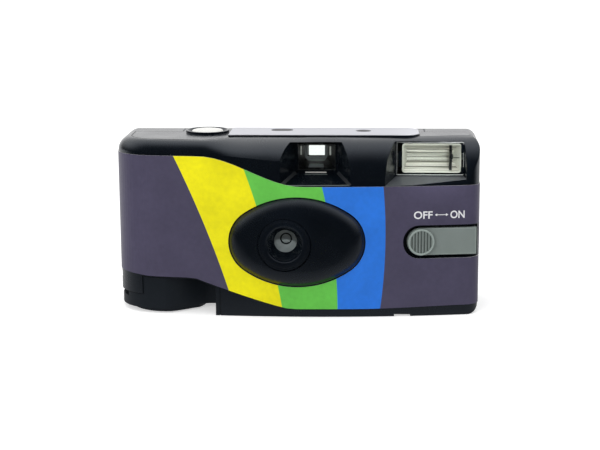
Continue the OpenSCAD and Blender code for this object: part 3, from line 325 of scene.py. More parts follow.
# stripes: the inks from left to right, and the sizes of fibre, mottle and smudge
stripes = {"ground": "#4a465c", "colours": ["#ebe201", "#65c44c", "#2574db", "#4a465c"], "fibre": 0.35,
    "mottle": 1.6, "smudge": 11.0, "core": "#d9d8d6", "blur": 0.06, "gloss": (0.3, 0.42), "specular": 0.28}
# edges of the colours as x from start, slope and bend over z; fields as middle, half size and tone
wraps = {
    "wrap_paper": {**stripes, "name": "coatedPaperOffsetPrinted", "worn": (0.93, 1.07),
        "cornerFrom": 45.0, "panels": [],
        "lines": [(-19.3, -0.283, -0.0019), (-4.02, -0.157, -0.0021), (13.41, 0.0123, -0.003),
            (26.8, 0.1481, -0.0028)]},
    "rear_print": {**stripes, "name": "coatedPaperOffsetPrintedRear", "worn": (0.95, 1.05),
        "cornerFrom": 70.0,
        "panels": [((22.0, 26.0), (26.0, 14.0), "#c3c4ca"), ((22.0, 26.0), (25.4, 13.4), "#4a465c"),
            ((22.0, 26.0), (25.1, 13.1), "#c3c4ca")],
        "lines": [(-33.0, -0.31, -0.0019), (-26.0, -0.22, -0.0021), (-18.5, -0.12, -0.0025),
            (-11.0, -0.02, -0.003)]},
}
finishes.update({slot: printedPaper(look) for slot, look in wraps.items()})

# pale coated paper: nearly even, with fibres just showing
paper = {"deep": "#bfc0c7", "pale": "#c8c9cf", "fibre": 0.4}
material, tree, shader = startMaterial("paleCoatedPaper")
place = addNode(tree, "TexCoord").outputs["Object"]
fibre = addNode(tree, "TexNoise", {"Vector": place, "Scale": 1 / (paper["fibre"] * mm), "Detail": 4.0})
tint = addNode(tree, "Mix", {0: fibre.outputs[0], 6: linear(paper["deep"]), 7: linear(paper["pale"])},
    data_type="RGBA")
bump = addNode(tree, "Bump", {"Height": fibre.outputs[0], "Strength": 0.2, "Distance": 0.00003})
setSockets(tree, shader, {"Base Color": tint.outputs[2], "Roughness": 0.45, "IOR": 1.5,
    "Normal": bump.outputs[0]})
finishes["pale_paper"] = material


# clear mouldings: faces let light straight through and mirror at a slant; side faces turn whitish, partly the
# mould's frost and partly a painted highlight along the edges
def clearMoulding(look):
    material, tree, shader = startMaterial(look["name"])
    place = addNode(tree, "TexCoord").outputs["Object"]
    wave = addNode(tree, "TexNoise", {"Vector": place, "Scale": 1 / (look["wave"] * mm), "Detail": 1.0})
    bump = addNode(tree, "Bump", {"Height": wave.outputs[0], "Strength": 0.15, "Distance": 0.00005})
    surface = addNode(tree, "NewGeometry")
    outer = addNode(tree, "Math", {0: 1.0, 1: surface.outputs["Backfacing"]}, operation="SUBTRACT")
    slant = addNode(tree, "Fresnel", {"IOR": look["ior"], "Normal": bump.outputs[0]})
    slant = addNode(tree, "Math", {0: slant.outputs[0], 1: outer.outputs[0]}, operation="MULTIPLY")
    through = addNode(tree, "BsdfTransparent", {"Color": linear(look["tone"])})
    mirror = addNode(tree, "BsdfGlossy", {"Roughness": look["gloss"], "Normal": bump.outputs[0]})
    pane = addNode(tree, "MixShader", {0: slant.outputs[0], 1: through.outputs[0], 2: mirror.outputs[0]})
    facing = addNode(tree, "SeparateXYZ", {0: surface.outputs["Normal"]})
    across = addNode(tree, "Math", {0: facing.outputs["Y"]}, operation="ABSOLUTE")
    frostAndSheen = addNode(tree, "MapRange", {"Value": across.outputs[0], "From Min": 0.5, "From Max": 0.95,
        "To Min": look["frostAndSheen"], "To Max": 0.0})
    setSockets(tree, shader, {"Base Color": linear("#dfe3e2"), "Roughness": 0.3, "Normal": bump.outputs[0]})
    whole = addNode(tree, "MixShader", {0: frostAndSheen.outputs[0], 1: pane.outputs[0], 2: shader.outputs[0]})
    tree.links.new(whole.outputs[0], tree.nodes["Material Output"].inputs["Surface"])
    return material


clears = {
    "clear_acrylic": {"name": "clearAcrylicMoulded", "tone": "#fafcfb", "wave": 6.0, "gloss": 0.04,
        "ior": 1.49, "frostAndSheen": 0.08},
    "edge_lit_acrylic": {"name": "clearAcrylicEdgeHighlight", "tone": "#fafcfb", "wave": 6.0, "gloss": 0.04,
        "ior": 1.49, "frostAndSheen": 0.8},
    "tube_glass": {"name": "borosilicateGlassDrawn", "tone": "#fafbfb", "wave": 8.0, "gloss": 0.03,
        "ior": 1.47, "frostAndSheen": 0.0},
}
finishes.update({slot: clearMoulding(look) for slot, look in clears.items()})


# sheet and wire metals: fine lines left by rolling or drawing
def rolledMetal(look):
    material, tree, shader = startMaterial(look["name"])
    place = addNode(tree, "TexCoord").outputs["Object"]
    drawn = addNode(tree, "Mapping", {"Vector": place, "Scale": look["stretch"]})
    lines = addNode(tree, "TexNoise", {"Vector": drawn.outputs[0], "Scale": 1 / (look["line"] * mm),
        "Detail": 3.0})
    streak = addNode(tree, "MapRange", {"Value": lines.outputs[0], "From Min": look.get("soft", 0.0),
        "From Max": 1 - look.get("soft", 0.0)})
    tone = addNode(tree, "Mix", {0: streak.outputs[0], 6: linear(look["deep"]), 7: linear(look["pale"])},
        data_type="RGBA")
    if "crease" in look:  # painted shade: a dark line along each fold of the flutes
        height = addNode(tree, "SeparateXYZ", {0: place}).outputs["Z"]
        steps = addNode(tree, "MapRange", {"Value": height, "From Min": look["from"] * mm,
            "From Max": (look["from"] + look["pitch"]) * mm}, clamp=False)
        near = addNode(tree, "Math", {0: steps.outputs[0], 1: 0.5}, operation="PINGPONG")
        fold = addNode(tree, "MapRange", {"Value": near.outputs[0], "From Min": 0.0,
            "From Max": look["sharp"], "To Min": 1.0, "To Max": 0.0}, interpolation_type="SMOOTHSTEP")
        tone = addNode(tree, "Mix", {0: fold.outputs[0], 6: tone.outputs[2], 7: linear(look["crease"])},
            data_type="RGBA")
    gloss = addNode(tree, "MapRange", {"Value": lines.outputs[0], "From Min": 0.3, "From Max": 0.7,
        "To Min": look["gloss"][0], "To Max": look["gloss"][1]})
    bump = addNode(tree, "Bump", {"Height": lines.outputs[0], "Strength": look["bump"],
        "Distance": look["deepest"] * mm})
    setSockets(tree, shader, {"Base Color": tone.outputs[2], "Metallic": look["metal"],
        "Roughness": gloss.outputs[0], "Normal": bump.outputs[0]})
    return material


metals = {
    "spring_steel": {"name": "springSteelDrawn", "deep": "#8d9095", "pale": "#a9acb0", "line": 0.25,
        "stretch": (0.1, 1, 1), "gloss": (0.25, 0.4), "bump": 0.2, "deepest": 0.02, "metal": 1.0},
    "foil": {"name": "aluminiumFoilPressed", "deep": "#d9d8cd", "pale": "#ebeae0", "line": 0.5,
        "stretch": (0.15, 1, 1), "gloss": (0.3, 0.45), "bump": 0.3, "deepest": 0.02, "metal": 0.1},
    # fluted foil: its streaky tone and the dark line at each fold are painted reflection and painted shade of
    # the flutes
    "foil_fluted": {"name": "aluminiumFoilFlutedPaintedShading", "deep": "#9b978c", "pale": "#fdfaf2", "line": 0.9,
        "soft": 0.36, "stretch": (0.03, 1, 1), "gloss": (0.3, 0.45), "bump": 0.3, "deepest": 0.02,
        "metal": 0.1, "crease": "#5f5f56", "pitch": 1.286, "from": 45.7, "sharp": 0.16},
    "foil_crinkled": {"name": "aluminiumFoilCrinkled", "deep": "#d9d8cd", "pale": "#ecebe2", "line": 0.9,
        "stretch": (1, 1, 1), "gloss": (0.3, 0.45), "bump": 1.0, "deepest": 0.25, "metal": 0.1},
    "satin_plate": {"name": "aluminiumPlateBrushed", "deep": "#83878a", "pale": "#909496", "line": 0.2,
        "stretch": (0.1, 1, 1), "gloss": (0.4, 0.55), "bump": 0.2, "deepest": 0.02, "metal": 0.1},
    "brass_strip": {"name": "brassStripRolled", "deep": "#b08f4c", "pale": "#c9a964", "line": 0.25,
        "stretch": (1, 1, 0.1), "gloss": (0.25, 0.38), "bump": 0.2, "deepest": 0.02, "metal": 1.0},
    "copper_wire": {"name": "copperWireEnamelled", "deep": "#8a4b24", "pale": "#b0703c", "line": 0.3,
        "stretch": (1, 1, 1), "gloss": (0.25, 0.35), "bump": 0.6, "deepest": 0.05, "metal": 1.0},
}
finishes.update({slot: rolledMetal(look) for slot, look in metals.items()})
print("materials made:", len(finishes))

ownFinish = {"aperture_plate": "satin_plate", "shutter_blade": "satin_plate", "flash_tube": "tube_glass",
    "flash_window": "edge_lit_acrylic", "rear_label": "rear_print", "film_door": "black_door_painted_reflection"}
for part in frame["record"]["subparts"]:
    name = part["node"]
    nodes[name].data.materials.clear()
    nodes[name].data.materials.append(finishes[ownFinish.get(name, part["material_slot"])])
print("CAD nodes dressed")

# smooth shading that keeps every crease sharper than the angle; weld in millimetres, the others in degrees
rounding = {"crease": 25, "weld": 0.03, "flat": 0.3}
smoother = bpy.data.node_groups.new("smoothByAngle", "GeometryNodeTree")
smoother.interface.new_socket("Geometry", in_out="INPUT", socket_type="NodeSocketGeometry")
smoother.interface.new_socket("Geometry", in_out="OUTPUT", socket_type="NodeSocketGeometry")
groupIn = addNode(smoother, "NodeGroupInput")
crease = addNode(smoother, "FunctionNodeCompare", {1: math.radians(rounding["crease"])})
angle = addNode(smoother, "GeometryNodeInputMeshEdgeAngle")
smoother.links.new(angle.outputs[0], crease.inputs[0])
soft = addNode(smoother, "GeometryNodeSetShadeSmooth", {"Geometry": groupIn.outputs[0],
    "Shade Smooth": True})
hard = addNode(smoother, "GeometryNodeSetShadeSmooth", {"Geometry": soft.outputs[0],
    "Selection": crease.outputs[0], "Shade Smooth": False}, domain="EDGE")
groupOut = addNode(smoother, "NodeGroupOutput")
smoother.links.new(hard.outputs[0], groupOut.inputs[0])


# moulded edges: a small round on every sharp edge, and even shading on the flats
def softEdges(piece, width, segments=2, turn=30, clamp=True):
    weld = piece.modifiers.new("weld", "WELD")
    weld.merge_threshold = rounding["weld"] * mm
    flat = piece.modifiers.new("flat", "DECIMATE")
    flat.decimate_type = "DISSOLVE"
    flat.angle_limit = math.radians(rounding["flat"])
    even = piece.modifiers.new("even", "NODES")
    even.node_group = smoother
    bevel = piece.modifiers.new("bevel", "BEVEL")
    bevel.width = width * mm
    bevel.segments = segments
    bevel.limit_method = "ANGLE"
    bevel.angle_limit = math.radians(turn)
    bevel.harden_normals = True
    bevel.use_clamp_overlap = clamp
    shading = piece.modifiers.new("shading", "WEIGHTED_NORMAL")
    shading.keep_sharp = True


edges = {"front_cover": 0.35, "rear_cover": 0.25, "film_door": 0.15, "flash_switch": 0.35,
    "shutter_button": 0.3, "thumbwheel": 0.12, "ready_lamp": 0.15, "counter_lens": 0.15,
    "flash_window": 0.25, "top_label": 0.05, "viewfinder_front_lens": 0.2, "viewfinder_eyepiece": 0.15,
    "film_cartridge": 0.2}
for name, width in edges.items():
    softEdges(nodes[name], width, turn=62 if name == "front_cover" else 30, clamp=name != "rear_cover")
print("edges softened")


def addPiece(name, points, faces, slot, rider="camera"):
    mesh = bpy.data.meshes.new(name)
    mesh.from_pydata([Vector(p) * mm for p in points], [], faces)
    shape = bmesh.new()
    shape.from_mesh(mesh)
    bmesh.ops.recalc_face_normals(shape, faces=shape.faces)
    shape.to_mesh(mesh)
    shape.free()
    mesh.materials.append(finishes[slot])
    piece = bpy.data.objects.new(name, mesh)
    scene.collection.objects.link(piece)
    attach(piece, rider)
    return piece


def prism(outline, front, back):  # bar with an x, z outline, from y front to y back
    count = len(outline)
    points = [(x, y, z) for y in (front, back) for x, z in outline]
    faces = [tuple(range(count)), tuple(range(2 * count - 1, count - 1, -1))]
    faces += [(k, k + count, (k + 1) % count + count, (k + 1) % count) for k in range(count)]
    return points, faces


def lathe(profile, x, z, turns=96):  # ring about a line along y, from a closed r, y profile
    count = len(profile)
    angles = [2 * math.pi * k / turns for k in range(turns)]
    points = [(x + r * math.cos(a), y, z + r * math.sin(a)) for a in angles for r, y in profile]
    faces = []
    for j in range(turns):
        for k in range(count):
            here, there = j * count, (j + 1) % turns * count
            faces.append((here + k, here + (k + 1) % count, there + (k + 1) % count, there + k))
    return points, faces


def ribbon(count):  # faces of a strip whose points come in pairs
    return [(2 * k, 2 * k + 1, 2 * k + 3, 2 * k + 2) for k in range(count)]


# lens ring: stepped cone that keeps stray light off the lens
ring = {"x": -3.5, "z": 24.4, "outer": 8.5, "brow": 8.2, "front": -19.525, "groove": 7.6, "grooveDeep": 0.2,
    "lip": 6.5, "mouth": 5.4, "mouthAt": -18.6, "throat": 3.65, "throatAt": -13.0, "seat": 4.4,
    "back": -10.4, "steps": 8, "chamfer": 0.3, "grooveHalf": 0.15, "roll": 70, "rollSteps": 4,
    "stepRound": 0.02, "stepIn": 0.05, "stepLong": 0.75, "edge": 0.08}
profile = [(ring["seat"], ring["back"]), (ring["outer"], ring["back"]),
    (ring["outer"], ring["front"] + ring["chamfer"]), (ring["brow"], ring["front"]),
    (ring["groove"] + ring["grooveHalf"], ring["front"]),
    (ring["groove"], ring["front"] + ring["grooveDeep"]),
    (ring["groove"] - ring["grooveHalf"], ring["front"])]
roll = math.radians(ring["roll"])
for k in range(ring["rollSteps"] + 1):  # lip rolls over into the cone
    turn = math.radians(ring["roll"] * k / ring["rollSteps"])
    share = math.sin(turn) / math.sin(roll)
    fall = (1 - math.cos(turn)) / (1 - math.cos(roll))
    profile.append((ring["lip"] + (ring["mouth"] - ring["lip"]) * share,
        ring["front"] + (ring["mouthAt"] - ring["front"]) * fall))
drop = (ring["throatAt"] - ring["mouthAt"]) / ring["steps"]
for k in range(ring["steps"]):
    share = k / ring["steps"]
    radius = ring["mouth"] + (ring["throat"] - ring["mouth"]) * share
    depth = ring["mouthAt"] + (ring["throatAt"] - ring["mouthAt"]) * share
    profile.append((radius - ring["stepRound"], depth + ring["stepRound"]))
    profile.append((radius - ring["stepIn"], depth + ring["stepLong"] * drop))
profile += [(ring["throat"], ring["throatAt"]), (ring["seat"], ring["throatAt"] + 0.1)]
lensRing = addPiece("lensRing", *lathe(profile, ring["x"], ring["z"]), "black_abs")
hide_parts("lens_retainer")
softEdges(lensRing, ring["edge"])

# matte dark strip along the top of the front cover, where the slope starts: it marks the joint, and its
# darkness is partly painted shade of the gap
jointShade = {"wide": 0.26, "proud": 0.012, "smallRound": 4.4, "deep": 12, "from": -31, "over": 13, "last": -7,
    "cornerRadius": 13, "end": 8.3, "steps": 48, "first": -46, "bend": 12, "short": 0.97}


def slopeDepth(x):  # the slope of the top front edge grows deeper from left to right
    share = min(1, max(0, (x - jointShade["from"]) / jointShade["over"]))
    return jointShade["smallRound"] + (jointShade["deep"] - jointShade["smallRound"]) * share * share * (3 - 2 * share)


corner = Vector((jointShade["cornerRadius"] - body["halfWidth"], 0))
reach = body["frontRadius"] - jointShade["cornerRadius"]
corner.y = body["frontMiddle"] + body["frontRadius"] - math.sqrt(reach ** 2 - corner.x ** 2)
inset = jointShade["cornerRadius"] - jointShade["smallRound"]
route = [Vector((corner.x - inset, jointShade["end"]))]
for k in range(jointShade["bend"] + 1):
    turn = math.radians(180 + 80 * k / jointShade["bend"])
    route.append(corner + inset * Vector((math.cos(turn), math.sin(turn))))
for k in range(jointShade["steps"] + 1):
    x = jointShade["first"] + (jointShade["last"] - jointShade["first"]) * k / jointShade["steps"]
    route.append(Vector((x, frontAt(x) + slopeDepth(x) * jointShade["short"])))
points = []
for k, here in enumerate(route):
    along = (route[min(k + 1, len(route) - 1)] - route[max(k - 1, 0)]).normalized()
    side = Vector((-along.y, along.x)) * jointShade["wide"] / 2
    for spot in (here - side, here + side):
        points.append((spot.x, spot.y, body["height"] + jointShade["proud"]))
addPiece("topJointShade", points, ribbon(len(route) - 1), "black_frame")

# dark ring round the aperture, on the face of the plate
stop = {"inner": 1.5, "outer": 1.95, "face": -9.0, "thick": 0.03}
profile = [(stop["inner"], stop["face"] - stop["thick"]), (stop["outer"], stop["face"] - stop["thick"]),
    (stop["outer"], stop["face"]), (stop["inner"], stop["face"])]
addPiece("apertureRing", *lathe(profile, ring["x"], ring["z"]), "black_frame")

# flash reflector: fluted trough of bright foil with slanting end walls and a rolled lip
trough = {"left": 34.4, "right": 53.0, "slantLeft": 1.5, "slantRight": 2.7, "middle": 50.2, "reach": 4.5,
    "mouth": -4.0, "back": 3.4, "flutes": 7, "ripple": 0.55, "rows": 98}
deep = trough["back"] - trough["mouth"]
section = []
for k in range(trough["rows"] + 1):
    across = 1 - 2 * k / trough["rows"]
    scallop = abs(math.sin(math.pi * trough["flutes"] * (across + 1) / 2)) * trough["ripple"]
    section.append((trough["back"] - deep * across ** 2 - scallop,
        trough["middle"] + trough["reach"] * across))
points = []
for y, z in section:
    inward = (y - trough["mouth"]) / deep
    points += [(trough["left"] + trough["slantLeft"] * inward, y, z),
        (trough["right"] - trough["slantRight"] * inward, y, z)]
reflector = addPiece("flashTrough", points, ribbon(trough["rows"]), "foil_fluted")
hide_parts("flash_reflector")
count = trough["rows"] + 1
for name, side in (("flashEndLeft", 0), ("flashEndRight", 1)):
    addPiece(name, points[side::2], [tuple(range(count))], "foil_crinkled")


def roundedBox(x0, x1, z0, z1, r, arcs=5):  # outline with round corners
    outline = []
    centres = [(x1 - r, z1 - r), (x0 + r, z1 - r), (x0 + r, z0 + r), (x1 - r, z0 + r)]
    for quarter, (cx, cz) in enumerate(centres):
        for k in range(arcs + 1):
            turn = math.radians(90 * quarter + 90 * k / arcs)
            outline.append((cx + r * math.cos(turn), cz + r * math.sin(turn)))
    return outline


def frameBar(outer, inner, front, back):  # flat frame between two outlines of equal count
    count = len(outer)
    points = [(x, y, z) for y in (front, back) for outline in (outer, inner) for x, z in outline]
    faces = []
    for k in range(count):
        n = (k + 1) % count
        faces.append((k, n, n + count, k + count))
        faces.append((k + 2 * count, k + 3 * count, n + 3 * count, n + 2 * count))
        faces.append((k, k + 2 * count, n + 2 * count, n))
        faces.append((k + count, n + count, n + 3 * count, k + 3 * count))
    return points, faces


rim = {"wide": 0.35, "round": 0.9, "tall": 0.3, "inset": 0.1, "proud": 0.1, "deep": 0.35, "edge": 0.12}
low, high = trough["middle"] - trough["reach"], trough["middle"] + trough["reach"]
outer = roundedBox(trough["left"] - rim["wide"], trough["right"] + rim["wide"] * 0.5, low - rim["tall"],
    high + rim["tall"], rim["round"])
inner = roundedBox(trough["left"] + rim["inset"], trough["right"] - rim["inset"], low + rim["inset"],
    high - rim["inset"], rim["round"])
points, faces = frameBar(outer, inner, trough["mouth"] - rim["proud"], trough["mouth"] + rim["deep"])
softEdges(addPiece("flashLip", points, faces, "foil"), rim["edge"])

# trigger lead on the tube: a dark sleeve with a knot, and its bare end
knot = {"x": 50.0, "y": -2.9, "z": 50.6, "half": 1.15, "thick": 0.62, "rows": 8, "turns": 20}
profile = []
for k in range(knot["rows"] + 1):
    turn = math.pi * k / knot["rows"]
    profile.append((knot["thick"] * math.sin(turn), knot["half"] * math.cos(turn)))
count = knot["turns"]
angles = [2 * math.pi * j / count for j in range(count)]
points = [(knot["x"] + r * math.cos(a), knot["y"] + r * math.sin(a), knot["z"] + h)
    for r, h in profile for a in angles]
faces = [(k * count + j, k * count + (j + 1) % count, (k + 1) * count + (j + 1) % count, (k + 1) * count + j)
    for k in range(knot["rows"]) for j in range(count)]
addPiece("triggerKnot", points, faces, "dark_rubber").data.shade_smooth()
bareEnd = {"from": 50.4, "to": 52.8, "y": -2.9, "z": 50.2, "thick": 0.1, "turns": 10}
count = bareEnd["turns"]
angles = [2 * math.pi * j / count for j in range(count)]
points = [(x, bareEnd["y"] + bareEnd["thick"] * math.cos(a), bareEnd["z"] + bareEnd["thick"] * math.sin(a))
    for x in (bareEnd["from"], bareEnd["to"]) for a in angles]
faces = [(j, (j + 1) % count, (j + 1) % count + count, j + count) for j in range(count)]
addPiece("triggerBareEnd", points, faces, "dark_rubber").data.shade_smooth()

# clips of the flash window
clips = {"front": -5.7, "back": -5.2, "corner": 0.3, "edge": 0.1, "boxes": [
    ("clipLeft", 33.0, 33.9, 47.7, 52.8), ("clipRightLow", 53.0, 53.9, 45.4, 47.6),
    ("clipRightHigh", 53.0, 53.9, 52.2, 55.0)]}
for name, *box in clips["boxes"]:
    outline = roundedBox(*box, clips["corner"])
    clip = addPiece(name, *prism(outline, clips["front"], clips["back"]), "black_abs")
    softEdges(clip, clips["edge"])

# viewfinder: grey mask round the eyepiece light, tab on the floor, white bars in two slits as painted light,
# a stepped sill, and white and grey strips as painted highlights on the edges
finder = {"maskFront": -1.7, "maskBack": -0.7, "maskEdge": 0.12, "tabFront": -1.8, "tabBack": -0.9,
    "tabEdge": 0.15, "slitFront": -1.6, "slitDeep": 0.6, "slitCorner": 0.2, "slitEdge": 0.08,
    "stepCorner": 0.1, "stepEdge": 0.06}
mask = [(2.5, 54.2), (2.45, 50.3), (3.3, 48.94), (8.9, 48.94), (9.75, 50.3), (9.69, 54.2), (8.95, 54.2),
    (8.9, 50.36), (3.2, 50.36), (3.15, 54.2)]
finderMask = addPiece("finderMask", *prism(mask, finder["maskFront"], finder["maskBack"]), "mask_pale")
softEdges(finderMask, finder["maskEdge"])
tab = [(3.3, 46.1), (4.3, 46.1), (4.5, 46.65), (7.4, 46.65), (7.6, 46.1), (8.7, 46.1), (8.45, 47.85),
    (3.9, 47.85)]
finderTab = addPiece("finderTab", *prism(tab, finder["tabFront"], finder["tabBack"]), "mask_pale")
softEdges(finderTab, finder["tabEdge"])
# white bars in the slits stand in for light coming through them: painted light
slits = [("finderSlitGlowLeft", 0.95, 1.4, 50.8, 53.8), ("finderSlitGlowRight", 10.45, 11.0, 50.7, 53.6)]
for name, *box in slits:
    outline = roundedBox(*box, finder["slitCorner"])
    points, faces = prism(outline, finder["slitFront"], finder["slitFront"] + finder["slitDeep"])
    softEdges(addPiece(name, points, faces, "white_abs"), finder["slitEdge"])
# two black steps of the sill, then white and grey strips that are painted highlights on the edges of the
# sill, mask and tab
sillStepsAndHighlights = [("sillLow", 2.35, 10.05, -5.9, -4.8, 44.7, 45.3, "black_abs"),
    ("sillHigh", 2.35, 10.05, -4.8, -3.6, 45.0, 45.8, "black_abs"),
    ("sillEdgeHighlight", 2.6, 9.6, -4.9, -4.7, 45.45, 45.75, "white_abs"),
    ("sillLineHighlight", 2.5, 9.9, -6.0, -5.85, 45.0, 45.2, "grey_abs"),
    ("maskLipHighlight", 3.5, 8.7, -1.8, -1.6, 48.95, 49.25, "grey_abs"),
    ("tabLipHighlight", 4.1, 8.3, -1.9, -1.7, 47.55, 47.8, "grey_abs"),
    ("tabFootHighlight", 7.7, 8.6, -1.9, -1.7, 46.15, 46.45, "grey_abs")]
for name, x0, x1, y0, y1, z0, z1, slot in sillStepsAndHighlights:
    step = addPiece(name, *prism(roundedBox(x0, x1, z0, z1, finder["stepCorner"]), y0, y1), slot)
    softEdges(step, finder["stepEdge"])

# strips along the lower edge of each recess, where its floor meets the front: a dark lip on the finder, and
# grey strips as painted highlights on the finder's and the flash's edge
rims = {"proud": 0.02, "deep": 0.22, "edge": 0.04, "finder": (-4.7, 17.5), "flash": (28.6, 54.5)}


def rimBar(name, ends, floorHeight, low, high, slot, steps=24):
    points = []
    for k in range(steps + 1):
        x = ends[0] + (ends[1] - ends[0]) * k / steps
        y = frontAt(x) - rims["proud"]
        z = floorHeight(x, y)
        points += [(x, y, z + low), (x, y, z + high), (x, y + rims["deep"], z + high)]
        points.append((x, y + 2 * rims["deep"], z + low))
    faces = [(4 * k + j, 4 * k + (j + 1) % 4, 4 * k + 4 + (j + 1) % 4, 4 * k + 4 + j)
        for k in range(steps) for j in range(4)]
    faces += [(0, 1, 2, 3), (4 * steps, 4 * steps + 1, 4 * steps + 2, 4 * steps + 3)]
    softEdges(addPiece(name, points, faces, slot), rims["edge"])


# floors of the two recesses: height and place of the back edge, and their slopes
floors = {"finder": 45.6, "finderBack": -3.5, "finderSlope": 0.2194, "flash": 44.5, "flashBack": -5.5,
    "flashSlope": 0.1778, "flashRight": 54.2, "flashTilt": 0.0922, "flashTwist": -0.0087}


def finderFloor(x, y):
    return floors["finder"] + floors["finderSlope"] * (y - floors["finderBack"])


def flashFloor(x, y):
    inward = y - floors["flashBack"]
    tilted = floors["flashTilt"] * (x - floors["flashRight"]) + floors["flashTwist"] * inward
    return floors["flash"] + max(floors["flashSlope"] * inward, tilted)


rimBar("finderLip", rims["finder"], finderFloor, -0.05, 0.24, "black_abs")
rimBar("finderRimHighlight", rims["finder"], finderFloor, 0.24, 0.4, "grey_abs")
rimBar("flashRimHighlight", rims["flash"], flashFloor, -0.05, 0.16, "grey_painted_sheen")
# floor below the flash: a grey sheet over the black floor, a painted reflection
slope = {"backLeft": 32.1, "backRight": 54.1, "back": -5.6, "inset": 0.4, "steps": 12, "lift": 0.03}
points = []
for k in range(slope["steps"] + 1):
    share = k / slope["steps"]
    x = rims["flash"][0] + (rims["flash"][1] - rims["flash"][0]) * share
    y = frontAt(x) + slope["inset"]
    points.append((x, y, flashFloor(x, y) + slope["lift"]))
    x = slope["backLeft"] + (slope["backRight"] - slope["backLeft"]) * share
    points.append((x, slope["back"], floors["flash"] + slope["lift"]))
addPiece("flashRampReflection", points, ribbon(slope["steps"]), "grey_painted_sheen")
# fillets between the floor of the finder and its walls, each from its back end to its front end, as sheets
# whose paler tone is a painted highlight
corners = {"wide": 0.8, "from": 0.1, "to": 0.82, "lift": 0.02}
fillets = [("finderFilletSheenLeft", (-0.2, -3.5, 45.6), (-6.1, -19, 42.2), 1),
    ("finderFilletSheenRight", (13, -3.5, 45.6), (18.9, -19, 42.2), -1)]
for name, back, front, side in fillets:
    points = []
    for share in (corners["from"], corners["to"]):
        spot = Vector(back).lerp(Vector(front), share)
        points.append(spot + Vector((side * corners["wide"], 0, corners["lift"])))
        points.append(spot + Vector((side * corners["lift"], 0, corners["wide"])))
    addPiece(name, points, [(0, 1, 3, 2)], "dark_painted_sheen")
print("lens, flash and finder detailed")

# thumb pad of the switch: a rim in paler grey as a painted highlight, and darker bars in the grooves as
# painted shade
pad = {"x": 46.8, "z": 24.5, "along": -6.7, "outer": 4.33, "inner": 3.6, "crest": -0.88, "base": -0.5,
    "grooves": 7, "half": 0.23, "floor": -0.38, "round": 0.2, "bevel": 0.25, "under": 0.1, "corner": 0.1,
    "thick": 0.1, "edge": 0.08}
lean = math.asin(pad["x"] / body["frontRadius"])


def onSwitch(along, out, up):  # place in the switch's own frame
    return (pad["x"] + along * math.cos(lean) - out * math.sin(lean),
        frontAt(pad["x"]) + along * math.sin(lean) + out * math.cos(lean), pad["z"] + up)


profile = [(pad["outer"], pad["base"]), (pad["outer"], pad["crest"] + pad["round"]),
    (pad["outer"] - pad["round"], pad["crest"]), (pad["inner"] + pad["bevel"], pad["crest"]),
    (pad["inner"], pad["crest"] + pad["round"]), (pad["inner"], pad["base"])]
points, faces = lathe(profile, pad["along"], 0)
padRim = addPiece("padRim", [onSwitch(*p) for p in points], faces, "grey_painted_highlight", "switch")
softEdges(padRim, pad["edge"])
# dark bars in the grooves are painted shade
points, faces = [], []
for k in range(pad["grooves"]):
    middle = k - (pad["grooves"] - 1) / 2
    reach = math.sqrt((pad["inner"] + pad["under"]) ** 2 - middle ** 2)
    groove = pad["along"] + middle
    outline = roundedBox(groove - pad["half"], groove + pad["half"], -reach, reach, pad["corner"])
    more, around = prism(outline, pad["floor"], pad["floor"] + pad["thick"])
    faces += [tuple(n + len(points) for n in face) for face in around]
    points += [onSwitch(*p) for p in more]
addPiece("padGrooveShade", points, faces, "grey_painted_shade", "switch")
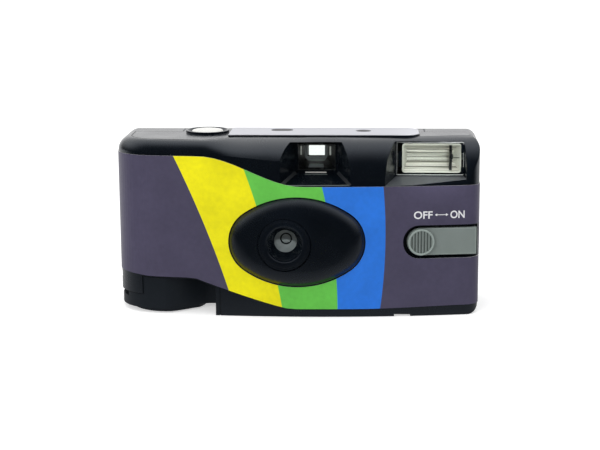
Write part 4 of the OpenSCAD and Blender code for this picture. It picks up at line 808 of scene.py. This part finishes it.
# edge of the bar, in the same paler grey: a painted highlight
bar = {"from": -2.0, "end": 11.22, "half": 4.18, "wide": 0.15, "face": 0.22, "thick": 0.1}
outline = [(bar["from"], bar["half"]), (bar["end"], bar["half"]), (bar["end"], -bar["half"]),
    (bar["from"], -bar["half"]), (bar["from"], bar["wide"] - bar["half"]),
    (bar["end"] - bar["wide"], bar["wide"] - bar["half"]),
    (bar["end"] - bar["wide"], bar["half"] - bar["wide"]), (bar["from"], bar["half"] - bar["wide"])]
points, faces = prism(outline, bar["face"], bar["face"] + bar["thick"])
addPiece("barEdge", [onSwitch(*p) for p in points], faces, "grey_painted_highlight", "switch")
print("thumb pad detailed")

# words of the switch, printed on the front label
words = {"low": 32.05, "high": 34.55, "off": (37.8, 43.8), "on": (49.5, 54.1), "proud": 0.015,
    "bolder": 0.018}


def onLabel(x):
    return frontAt(x) - body["paper"] - words["proud"]


def printWord(name, word, x0, x1, z0, z1):
    letters = bpy.data.curves.new(name, "FONT")
    letters.body = word
    letters.offset = words["bolder"]
    source = bpy.data.objects.new(name + "Source", letters)
    scene.collection.objects.link(source)
    bpy.context.view_layer.update()
    flat = bpy.data.meshes.new_from_object(source.evaluated_get(bpy.context.evaluated_depsgraph_get()))
    bpy.data.objects.remove(source)
    xs = [v.co.x for v in flat.vertices]
    ys = [v.co.y for v in flat.vertices]
    points = []
    for v in flat.vertices:
        x = x0 + (x1 - x0) * (v.co.x - min(xs)) / (max(xs) - min(xs))
        z = z0 + (z1 - z0) * (v.co.y - min(ys)) / (max(ys) - min(ys))
        points.append((x, onLabel(x), z))
    faces = [tuple(p.vertices) for p in flat.polygons]
    bpy.data.meshes.remove(flat)
    return addPiece(name, points, faces, "white_ink")


printWord("wordOff", "OFF", *words["off"], words["low"], words["high"])
printWord("wordOn", "ON", *words["on"], words["low"], words["high"])
arrow = {"from": 44.5, "to": 48.85, "z": 33.3, "head": 0.75, "half": 0.45, "shaft": 0.11}
left, right = arrow["from"] + arrow["head"], arrow["to"] - arrow["head"]
outline = [(arrow["from"], 0), (left, -arrow["half"]), (left, -arrow["shaft"]), (right, -arrow["shaft"]),
    (right, -arrow["half"]), (arrow["to"], 0), (right, arrow["half"]), (right, arrow["shaft"]),
    (left, arrow["shaft"]), (left, arrow["half"])]
points = [(x, onLabel(x), arrow["z"] + z) for x, z in outline]
addPiece("wordArrow", points, [tuple(range(len(points)))], "white_ink")
print("switch words printed")
